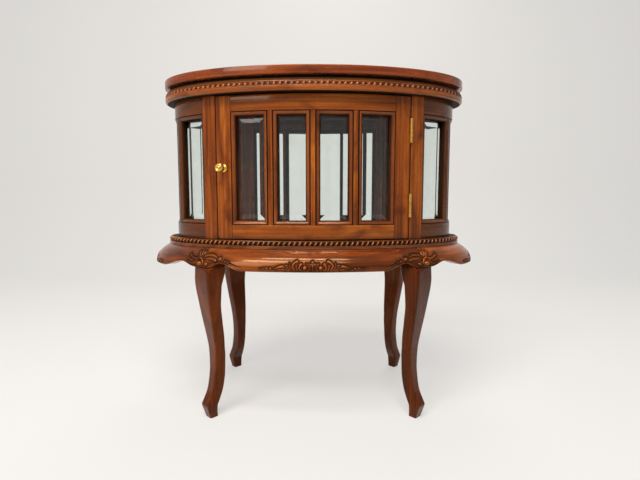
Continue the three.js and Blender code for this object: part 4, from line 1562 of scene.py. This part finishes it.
# The ornament at the middle of an apron, right-hand half: along and above its edge
CENTRE_STROKES = carved(
    (
        ((0, 0.5, 1.5, 1.6), (0, 6, 1.6, 1.9), (0, 12, 1.8, 2.1), (0, 15.5, 2.0, 2.2)),
        ((0, 12, 1.0, 1.5), (3, 15.5, 1.5, 1.9), (6.5, 17.8, 1.2, 1.6)),
        ((20.4, 1.5, 1.4, 1.8), (26.9, 7.7, 1.8, 2.3), (26.3, 12, 1.9, 2.5),
         (23.5, 16.7, 2.7, 2.9)),
        ((28.7, 1.5, 1.2, 1.7), (31, 5.7, 1.5, 2.1), (33, 11, 1.6, 2.3), (32.6, 14.2, 1.7, 2.3)),
        ((35, 1.5, 1.3, 1.8), (37.5, 5.5, 1.7, 2.2), (40.5, 11.3, 1.9, 2.5),
         (40.3, 14.8, 2.0, 2.5), (36, 20, 2.3, 2.8), (31.5, 21.6, 2.8, 3.1)),
        ((39, 1.5, 1.0, 1.5), (43.6, 7, 1.2, 1.7), (46.4, 13, 1.2, 1.8), (46.5, 19, 1.0, 1.5)),
        ((50.4, 14, 1.1, 1.4), (53, 14, 2.1, 2.0), (55.6, 14, 1.1, 1.4)),
        ((57, 9.5, 1.2, 1.4), (61, 12, 2.9, 2.5), (67, 11, 2.8, 2.3), (73.5, 8.8, 1.8, 1.8),
         (80, 7, 0.7, 0.9)),
        ((54, 3.4, 1.0, 1.2), (61, 5.2, 1.4, 1.6), (70, 5.2, 1.1, 1.3), (78, 5.0, 0.5, 0.7)),
    ),
    (
        (0, 20.5, 2.9, 2.8), (7.2, 3, 1.5, 1.4), (16, 9.5, 4.3, 3.1), (50, 9.4, 1.5, 1.5),
        (86, 7.5, 2.6, 2.3), (93, 7.5, 2.6, 2.3), (100.6, 7.3, 2.3, 2.0), (106, 7.1, 1.5, 1.4),
    ),
) + (Stroke(CRESCENT, 60),)

# The ornament over a front right knee: along the apron and below its top edge
KNEE_STROKES = carved(
    (
        ((250.4, 17.6, 1.2, 2.0), (246, 18.4, 1.9, 2.8), (241.2, 21, 2.2, 3.2),
         (237.6, 26, 2.2, 3.2), (237.6, 31.5, 1.9, 2.8), (239.6, 36, 1.1, 2.0)),
        ((249.4, 15, 1.0, 1.6), (251.8, 12, 2.0, 2.5), (254.4, 8.2, 2.4, 2.6)),
        ((246.4, 14.6, 1.0, 1.6), (246.6, 11, 1.9, 2.6), (247.2, 6.8, 2.3, 2.7)),
        ((243.4, 15.4, 1.0, 1.6), (241.6, 12, 1.9, 2.5), (240, 8.2, 2.3, 2.6)),
        ((234, 29.6, 0.9, 1.4), (232, 25.4, 1.4, 2.2), (227.6, 23.8, 1.5, 2.3),
         (223, 26, 1.2, 1.8)),
        ((237.6, 16.6, 1.0, 1.6), (231, 13, 1.8, 2.0), (220, 12.4, 2.1, 2.0),
         (211, 14.4, 1.7, 1.8), (204.8, 18, 0.8, 1.2)),
        ((232.6, 19.2, 1.0, 1.6), (226, 19.4, 2.3, 2.2), (217, 19.6, 2.9, 2.2),
         (210, 21.2, 2.5, 2.0), (205.6, 24.6, 1.2, 1.4)),
        ((253.6, 22.6, 1.2, 1.8), (257.6, 28.6, 1.9, 2.1), (264, 31, 1.9, 2.0),
         (271.6, 29.4, 1.3, 1.7), (277.6, 25.6, 0.7, 1.0)),
        ((253, 18.4, 1.2, 1.8), (259, 20, 2.1, 2.1), (266.4, 18.8, 2.2, 2.0),
         (273, 15.6, 1.9, 2.1), (277.5, 12, 1.0, 1.3)),
    ),
    (
        (246.5, 30.8, 6.3, 3.6), (228.6, 31.4, 4.5, 3.0), (197.8, 19.2, 4.2, 2.4),
        (184.4, 23.6, 2.5, 2.3), (177.4, 25.2, 2.1, 2.0),
    ),
)

# The cuts beside a knee's ornament, the same way: the first trails off along the lip
KNEE_GROOVES = carved((
    ((174, 26.4, 2.0, 1.5), (165, 29.8, 1.6, 1.4), (156, 33.4, 1.1, 1.2), (147, 37, 0.5, 0.8)),
    ((219, 30.6, 1.0, 1.4), (212, 26.8, 1.4, 1.4), (204, 25.2, 1.2, 1.4), (192, 25.4, 0.8, 1.2)),
))


@dataclass(frozen=True)
class Carving:
    """Strokes that stand in a sunk ground."""

    strokes: tuple[Stroke, ...]
    grooves: tuple[Stroke, ...] = ()
    ground: float = 2.3
    margin: float = 2.2
    # haze and grime_and_shade darken the ground round the strokes, and groove_grime_and_shade the
    # grooves, with stain and painted shade; wear_and_highlight lightens the crests with rubbing and
    # painted highlight.
    haze: float = 8.0
    grime_and_shade: float = 0.62
    wear_and_highlight: float = 1.0
    shoulder: float = 0.55
    crest_span: float = 0.4
    groove_grime_and_shade: float = 1.6

    def relief(self, along: Array, rise: Array) -> tuple[Array, Array, Array]:
        """Works out the carved surface.

        A stroke's height is h · sqrt(1 - d²/w²) at a distance d from its middle line. The
        ground sinks near the strokes and eases back to the surface over the margin. A groove
        is cut h · (1 - d²/w²) deep.

        Args:
            along: each point's place along the apron.
            rise: each point's place up or down it.

        Returns:
            The displacement in millimetres, the hollow mask of stain and painted shade,
            and the crest mask of rubbing and painted highlight.
        """
        height, gap = np.zeros(along.shape), np.full(along.shape, np.inf)
        for stroke in self.strokes:
            trail = stroke.trail()
            reach = trail[:, 2].max() + self.haze
            low, high = trail[:, :2].min(axis=0) - reach, trail[:, :2].max(axis=0) + reach
            near = (along > low[0]) & (along < high[0]) & (rise > low[1]) & (rise < high[1])
            if not near.any():
                continue
            spot = np.stack([along[near], rise[near]], axis=-1)
            distance = np.linalg.norm(spot[:, None] - trail[None, :, :2], axis=-1)
            share = distance / trail[None, :, 2]
            back = np.sqrt(np.clip(1 - share.min(axis=1) ** 2, 0, 1))
            height[near] = np.maximum(height[near], trail[share.argmin(axis=1), 3] * back)
            gap[near] = np.minimum(gap[near], (distance - trail[None, :, 2]).min(axis=1))
        sunk = 1 - ease(gap / self.margin)
        tallest = max(knot[3] for stroke in self.strokes for knot in stroke.knots)
        flat = 1 - ease(height / (self.shoulder * tallest))
        # The ground darkens with stain and painted shade near the strokes and over the haze round
        # them.
        hollow = flat * np.maximum(sunk, self.grime_and_shade * (1 - ease(gap / self.haze)))
        lift = height - self.ground * sunk
        for groove in self.grooves:
            x, y, half, _ = groove.trail().T
            share = (np.hypot(along[..., None] - x, rise[..., None] - y) / half).min(axis=-1)
            cut = np.clip(1 - share**2, 0, 1)
            lift = lift - groove.knots[0][3] * cut
            hollow = np.maximum(hollow, ease(cut * self.groove_grime_and_shade))
        crest = ease((height / tallest - self.shoulder) / self.crest_span)
        return lift, hollow, self.wear_and_highlight * crest


@dataclass
class Aprons(Part):
    """The four swelled aprons, carved over the knees and at the middle of each side."""

    top_outset: float = 18
    swell_reach: float = 32
    swell_drop: float = 44
    swell_power: float = 2.5
    thickness: float = 24
    front_drop: float = 42.5
    end_drop: float = 42
    arch_drop: float = 29
    knee_drop: float = 38.5
    knee_x: float = 233
    knee_lobe_width: float = 28
    front_arch_x: float = 194
    front_lobe_x: float = 146
    end_arch_x: float = 284
    end_lobe_x: float = 335
    pitch: float = 0.8
    face_rows: int = 73
    edge_round: float = 2.4
    lip_width: float = 2.6
    lip_height: float = 0.7
    lip_edge: float = 0.8
    # The lip is painted lighter, with rubbing and painted highlight, and the groove darker, with
    # stain and painted shade.
    lip_wear_and_highlight: float = 0.35
    groove_depth: float = 1.0
    groove_gap: float = 0.9
    groove_half: float = 0.8
    groove_grime_and_shade: float = 0.9
    early_fade: float = 12
    late_fade: float = 8
    outset_play: float = 0.15
    height_play: float = 0.05
    inner_grain: float = 80
    seam: float = 0.3
    centre: Carving = Carving(CENTRE_STROKES)
    knee: Carving = Carving(KNEE_STROKES, KNEE_GROOVES, grime_and_shade=0.85, wear_and_highlight=0.35)

    @property
    def outset(self) -> float:
        """The outset of the apron's fullest line."""
        return self.top_outset + self.swell_reach

    def drop(self, angle: Array) -> Array:
        """How far the lower edge hangs at a station, eased between the named places.

        Args:
            angle: the station.

        Returns:
            The drop below the apron's top edge.
        """
        half, knee, arch = self.knee_lobe_width / 2, self.knee_drop, self.arch_drop
        places = [0, self.front_lobe_x, self.front_arch_x, self.knee_x - half, self.knee_x + half,
                  self.end_arch_x, self.end_lobe_x]
        drops = np.array([self.front_drop, self.front_drop, arch, knee, knee, arch, self.end_drop,
                          self.end_drop])
        marks = np.array([self.oval.turn_to_x(x, self.outset) for x in places] + [QUARTER])
        turn = np.arcsin(np.clip(np.abs(np.cos(angle)), 0, 1))
        index = np.clip(np.searchsorted(marks, turn, side="right") - 1, 0, len(marks) - 2)
        eased = ease((turn - marks[index]) / (marks[index + 1] - marks[index]))
        return drops[index] + (drops[index + 1] - drops[index]) * eased

    def reach(self, drop: Array) -> Array:
        """The face's outset at a drop: a swell of 1 - (1 - t)^p, t being the drop's share."""
        rest = np.clip(1 - drop / self.swell_drop, 0, None)
        return self.top_outset + self.swell_reach * (1 - rest**self.swell_power)

    def slope(self, drop: Array) -> Array:
        """How fast the face's outset grows with the drop."""
        rest = np.clip(1 - drop / self.swell_drop, 0, None)
        steepest = self.swell_reach * self.swell_power / self.swell_drop
        return steepest * rest ** (self.swell_power - 1)

    def relief(self, angle: Array, drop: Array, full: Array) -> tuple[Array, Array, Array]:
        """The carving of the face: the lip, the knees and the middles of all four sides.

        Args:
            angle: each point's station.
            drop: how far below the top edge it lies.
            full: how far the lower edge hangs there.

        Returns:
            The displacement, and the hollow and crest masks.
        """
        girth = self.oval.girth(self.outset)
        travel = np.mod(self.oval.travel_at(angle, self.outset), girth)
        from_front = np.minimum(travel, girth - travel)
        along, rise = np.minimum(from_front, girth / 2 - from_front), full - drop
        lift, hollow, crest = self.knee.relief(along, drop)
        for distance in (along, girth / 4 - along):
            more_lift, more_hollow, more_crest = self.centre.relief(distance, rise)
            lift = np.where(np.abs(more_lift) > np.abs(lift), more_lift, lift)
            hollow, crest = np.maximum(hollow, more_hollow), np.maximum(crest, more_crest)
        lip, groove = self.lip(along, rise)
        lift = lift + self.lip_height * lip - self.groove_depth * groove
        # The groove gets stain and painted shade, and the lip rubbing and a painted highlight.
        hollow = np.maximum(hollow, self.groove_grime_and_shade * groove)
        return lift, hollow, np.maximum(crest, self.lip_wear_and_highlight * lip)

    def lip(self, along: Array, rise: Array) -> tuple[Array, Array]:
        """The thin lip along the arches and the groove above it, both fading out at the lobes.

        Args:
            along: how far each point lies from the middle of its side.
            rise: how far it lies above the lower edge.

        Returns:
            The lip and groove masks.
        """
        places = [self.front_lobe_x, self.front_arch_x, self.end_arch_x, self.end_lobe_x]
        angles = FRONT_ANGLE + np.array([self.oval.turn_to_x(x, self.outset) for x in places])
        marks = self.oval.travel_at(angles, self.outset)
        early = (along - marks[0]) / (marks[1] - marks[0] - self.early_fade)
        late = (along - marks[2] - self.late_fade) / (marks[3] - marks[2] - self.late_fade)
        fade = ease(early) * (1 - ease(late))
        groove = np.exp(-(((rise - self.lip_width - self.groove_gap) / self.groove_half) ** 2))
        above = ease((rise - self.lip_width + self.lip_edge) / self.lip_edge)
        return fade * (1 - above), fade * groove

    def skin(self, start: float, end: float) -> Skin:
        """One apron between two stations.

        Each station's section runs down the face by its drop, round the lower edge, and back
        up the inner face.

        Args:
            start: the first station.
            end: the last one.

        Returns:
            The carved apron, with its grain along it.
        """
        first, last = self.oval.travel_at(np.array([start, end]), self.outset)
        travel = np.linspace(first, last, int((last - first) / self.pitch))[:, None]
        angle = self.oval.angle_at(travel, self.outset)
        full, radius = self.drop(angle), self.edge_round
        drop = np.linspace(0, 1, self.face_rows) * (full - radius)
        turn = np.linspace(0, QUARTER, 7)[None, 1:]
        hub = self.reach(full - radius) - radius
        outset = beside(self.reach(drop), hub + radius * np.cos(turn))
        drop = beside(drop, full - radius + radius * np.sin(turn))
        lift, hollow, crest = self.relief(angle + 0 * drop, drop, full + 0 * drop)
        lift[:, -6:] *= np.cos(turn)
        slope = self.slope(drop)
        lean = np.sqrt(1 + slope**2)
        outset = np.minimum(outset + lift / lean, self.outset - self.outset_play)
        top = self.levels.apron
        height = np.minimum(top - drop + lift * slope / lean, top - self.height_play)
        inside = full * np.array([[1, 0.5, 0]])
        outset = beside(outset, self.reach(inside) - self.thickness, outset[:, :1])
        height = beside(height, top - inside, height[:, :1])
        grain = grain_map(travel, beside(drop, self.inner_grain + 0 * inside, drop[:, :1]))
        masks = (beside(mask, np.zeros((len(mask), 4))) for mask in (hollow, crest))
        plan = self.oval.place(angle + 0 * outset, outset)
        return Skin(raised(plan, height), grain, False, *masks)

    def build(self) -> None:
        """Makes the four aprons, which meet over the knees."""
        turn = self.oval.turn_to_x(self.knee_x, self.outset)
        gap = self.seam / 2 / self.oval.half_length
        for index, (name, start, end) in enumerate(quarters(turn)):
            skins, node = [self.skin(start + gap, end - gap).cut_from(index + 0.6)], f"apron_{name}"
            self.bench.add(f"carved_{node}", skins, APRON_WOOD, ON_CASE, node, sharp_angle=75)


@dataclass
class Legs(Part):
    """Four cabriole legs, each curving in an upright plane turned outwards by 45 degrees."""

    aprons: Aprons
    foot_x: float = 220
    foot_y: float = 143
    slices: int = 130
    corner_sides: int = 9
    corner_share: float = 0.24
    fullness: float = 0.035
    shoulder_round: float = 9
    edge_setback: float = 3
    inside: float = 7

    # Height from the floor, then front, back and width in the leg's own frame
    form: Knots = (
        (0, 12.5, -6, 20), (3, 13.4, -5.6, 21), (14, 16.8, -4.4, 24), (25, 20.2, -4.6, 26.4),
        (29, 21, -5.4, 27), (32, 19.8, -7.2, 26.8), (40, 16, -11.5, 25.6), (58, 8, -19.5, 23.2),
        (75, 4, -23.6, 22.8), (92, 1.4, -26, 23), (112, -0.6, -26.6, 24.4), (132, -1, -26.4, 27),
        (152, -0.4, -24.6, 30), (172, 2.4, -23, 33.4), (212, 9.6, -17.2, 40.5),
        (252, 16.4, -12.6, 47), (288, 21.4, -13, 54), (304, 22.3, -17, 56),
        (318, 21.8, -21.6, 55.4), (330, 21.4, -23.6, 54.5), (345, 16, -24, 46), (369, 6, -24, 40),
    )

    def sections(self) -> Array:
        """Height, front, back and width of each slice, by monotone cubics of height.

        The slope at a knot is the harmonic mean of its neighbours, or nought at a turn.
        """
        knots = np.array(self.form, float)
        height = knots[:, 0]
        gaps = np.diff(height)[:, None]
        slopes = np.diff(knots, axis=0) / gaps
        before, after = slopes[:-1], slopes[1:]
        same = before * after > 0
        inner = np.where(same, 2 * before * after / np.where(same, before + after, 1), 0)
        tangent = np.vstack([slopes[:1], inner, slopes[-1:]])
        marks = np.union1d(np.linspace(0, height[-1], self.slices), height)
        index = np.clip(np.searchsorted(height, marks, side="right") - 1, 0, len(height) - 2)
        run = gaps[index]
        share = (marks - height[index])[:, None] / run
        rising = 3 * share**2 - 2 * share**3
        bends = (share**3 - 2 * share**2 + share) * tangent[index]
        bends += (share**3 - share**2) * tangent[index + 1]
        return (1 - rising) * knots[index] + rising * knots[index + 1] + run * bends

    def skin(self, end: int, side: int) -> Skin:
        """One leg.

        Args:
            end: 1 on the right and -1 on the left.
            side: -1 at the front and 1 at the rear.

        Returns:
            The leg: at each height a rectangle with soft corners, its faces slightly full.
        """
        height, front, back, width = self.sections().T[:, :, None]
        corners = rounded(block(-1, 1, -1, 1), self.corner_share, self.corner_sides)
        ahead, wide = refined(corners, 0.2).T
        along = (front + back) / 2 + (front - back) / 2 * ahead
        across = width / 2 * wide * (1 + self.fullness * (1 - ahead**2) * np.abs(wide))
        out = np.array([end, side]) / math.sqrt(2)
        foot = np.array([end * self.foot_x, side * self.foot_y])
        plan = foot + along[..., None] * out + across[..., None] * np.array([-out[1], out[0]])
        points = raised(self.tucked(plan, height), height)
        return Skin(points, grain_map(height, across * 0.6 + along))

    def tucked(self, plan: Array, height: Array) -> Array:
        """The leg's top drawn in under the apron.

        Below the apron's edge the outset is held to a quarter round that ends just behind
        it, and above it to just inside the apron's face.

        Args:
            plan: the plan points of each slice.
            height: the height of each slice.

        Returns:
            The plan points that are left.
        """
        aprons, turn = self.aprons, self.shoulder_round
        drop = self.levels.apron - height
        upper = drop[:, 0] < aprons.knee_drop + turn
        drop = drop[upper]
        angle, outset = self.oval.locate(plan[upper])
        full = aprons.drop(angle)
        hub = aprons.reach(full) - self.edge_setback - turn
        rise = np.clip(turn - (drop - full), 0, turn)
        limit = np.where(drop > full + turn, np.inf, hub + 2 * turn - rise**2 / turn)
        within = np.minimum(hub + turn, aprons.reach(drop) - self.inside)
        limit = np.where(drop < full, within, limit)
        plan = plan.copy()
        plan[upper] = self.oval.place(angle, np.minimum(outset, limit))
        return plan

    def build(self) -> None:
        """Makes the four legs."""
        corners = {"front_right": (1, -1), "back_right": (1, 1), "back_left": (-1, 1),
                   "front_left": (-1, -1)}
        for index, (name, (end, side)) in enumerate(corners.items()):
            skins, node = [self.skin(end, side).cut_from(index * 1.3 + 0.4)], f"leg_{name}"
            self.bench.add(f"cabriole_{node}", skins, LEG_WOOD, ON_CASE, node, sharp_angle=50)


# Surroundings


@dataclass(frozen=True)
class Lamp:
    """A soft rectangular lamp that looks at the middle of the case, its sizes in millimetres."""

    name: str
    place: tuple[float, float, float]
    size: tuple[float, float]
    power: float
    color: Color
    target: tuple[float, float, float] = (0, 0, 430)

    def build(self) -> None:
        """Makes the lamp."""
        data = bpy.data.lights.new(self.name, "AREA")
        data.shape = "RECTANGLE"
        data.size, data.size_y = self.size[0] * MM, self.size[1] * MM
        data.energy, data.color = self.power, self.color
        lamp = placed(self.name, data)
        lamp.location = np.array(self.place) * MM
        across, ahead, up = unit(np.array(self.target) - np.array(self.place, float))
        lamp.rotation_euler = (math.acos(-up), 0, math.atan2(-across, ahead))


@dataclass(frozen=True)
class Surroundings:
    """The camera, the lamps, the world, and a pale floor that curves up into a backdrop."""

    camera_place: tuple[float, float, float] = (14.6, -1078.0, 480.0)
    camera_pitch: float = 5.66
    lens: float = 24.975
    sensor: float = 36.0
    backdrop_y: float = 2100.0
    cove_radius: float = 600.0
    half_width: float = 12000.0
    front_y: float = -4000.0
    height: float = 3200.0
    pale: Color = (0.78, 0.765, 0.745)
    glow_color: Color = (1, 0.985, 0.96)
    glow: float = 0.5
    world_glow: float = 0.45
    world_depth: tuple[float, float] = (-0.45, 0.6)
    world_strength: tuple[float, float] = (0.08, 0.34)
    lamps: tuple[Lamp, ...] = (
        Lamp("key_lamp", (-420, -1500, 2500), (2000, 560), 46, (1.0, 0.97, 0.92)),
        Lamp("high_lamp", (-160, -820, 2900), (1500, 260), 22, (1.0, 0.95, 0.86)),
        Lamp("side_lamp", (-1500, -2200, 2000), (1200, 1200), 20, (1.0, 0.98, 0.96)),
        Lamp("rear_lamp", (300, 1300, 2700), (1300, 1300), 15, (1.0, 1.0, 1.0)),
    )

    def build(self) -> None:
        """Makes everything that isn't part of the table."""
        self.build_camera()
        self.build_stage()
        for lamp in self.lamps:
            lamp.build()
        self.build_world()
        bpy.context.scene.view_settings.view_transform = "Standard"

    def build_camera(self) -> None:
        """The camera at the photograph's viewpoint."""
        data = bpy.data.cameras.new("viewpoint")
        data.lens, data.sensor_width, data.clip_start = self.lens, self.sensor, 0.01
        camera = placed("viewpoint", data)
        camera.location = np.array(self.camera_place) * MM
        camera.rotation_euler = (QUARTER - math.radians(self.camera_pitch), 0, 0)
        bpy.context.scene.camera = camera

    def build_stage(self) -> None:
        """The floor, a quarter-round cove and the backdrop, as one swept sheet."""
        turn, radius = np.linspace(0, QUARTER, 24), self.cove_radius
        hub = self.backdrop_y - radius
        cove = np.stack([hub + radius * np.sin(turn), radius * (1 - np.cos(turn))], axis=-1)
        line = np.vstack([[[self.front_y, 0]], cove, [[self.backdrop_y, self.height]]])
        count = len(line)
        sides = [np.insert(line, 0, side * self.half_width, axis=1) for side in (-1, 1)]
        rows = np.arange(count - 1)
        faces = np.stack([rows, rows + count, rows + count + 1, rows + 1], axis=-1)
        mesh = bpy.data.meshes.new("stage_sheet")
        mesh.from_pydata((np.vstack(sides) * MM).tolist(), [], faces.tolist())
        mesh.shade_smooth()
        mesh.materials.append(self.stage_material())
        sheet_piece = placed("stage_sheet", mesh)

    def stage_material(self) -> bpy.types.Material:
        """Matt pale paper, with a glow that is seen but lights nothing."""
        material, sheet = new_material("pale_paper")
        values = {"Base Color": self.pale, "Roughness": 0.9, "Specular IOR Level": 0.1}
        emission = {"Color": self.glow_color, "Strength": 1.0}
        glow = sheet.add("ShaderNodeEmission", emission).outputs[0]
        surface = sheet.blend(sheet.seen(self.glow), sheet.principled(values), glow)
        sheet.add("ShaderNodeOutputMaterial", {"Surface": surface})
        return material

    def build_world(self) -> None:
        """Even light that is darker in front of the table than behind it."""
        world = bpy.data.worlds.new("even_light")
        world.use_nodes = True
        bpy.context.scene.world = world
        sheet = NodeSheet(world.node_tree)
        depth = sheet.add("ShaderNodeSeparateXYZ", {0: sheet.object_place()}).outputs[1]
        strength = sheet.span(depth, *self.world_depth, *self.world_strength)
        strength = sheet.math("MAXIMUM", strength, sheet.seen(self.world_glow))
        light = sheet.add("ShaderNodeBackground", {"Color": (1, 1, 1), "Strength": strength})
        sheet.add("ShaderNodeOutputWorld", {"Surface": light.outputs[0]})


def main() -> None:
    """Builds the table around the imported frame."""
    logging.basicConfig(level=logging.INFO, format="%(name)s %(message)s")
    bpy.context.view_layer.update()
    Surroundings().build()
    oval = Oval(box_mm("top_rim_right")[1, 0] - REACH, box_mm("top_rim_back")[1, 1] - REACH)
    stock = (Joinery(oval), Levels.from_frame(), Bench())
    aprons = Aprons(*stock)
    for part in (Top(*stock), Mouldings(*stock), CaseFrame(*stock), Ironwork(*stock), aprons,
                 Legs(*stock, aprons)):
        part.build()


if __name__ == "__main__":
    main()
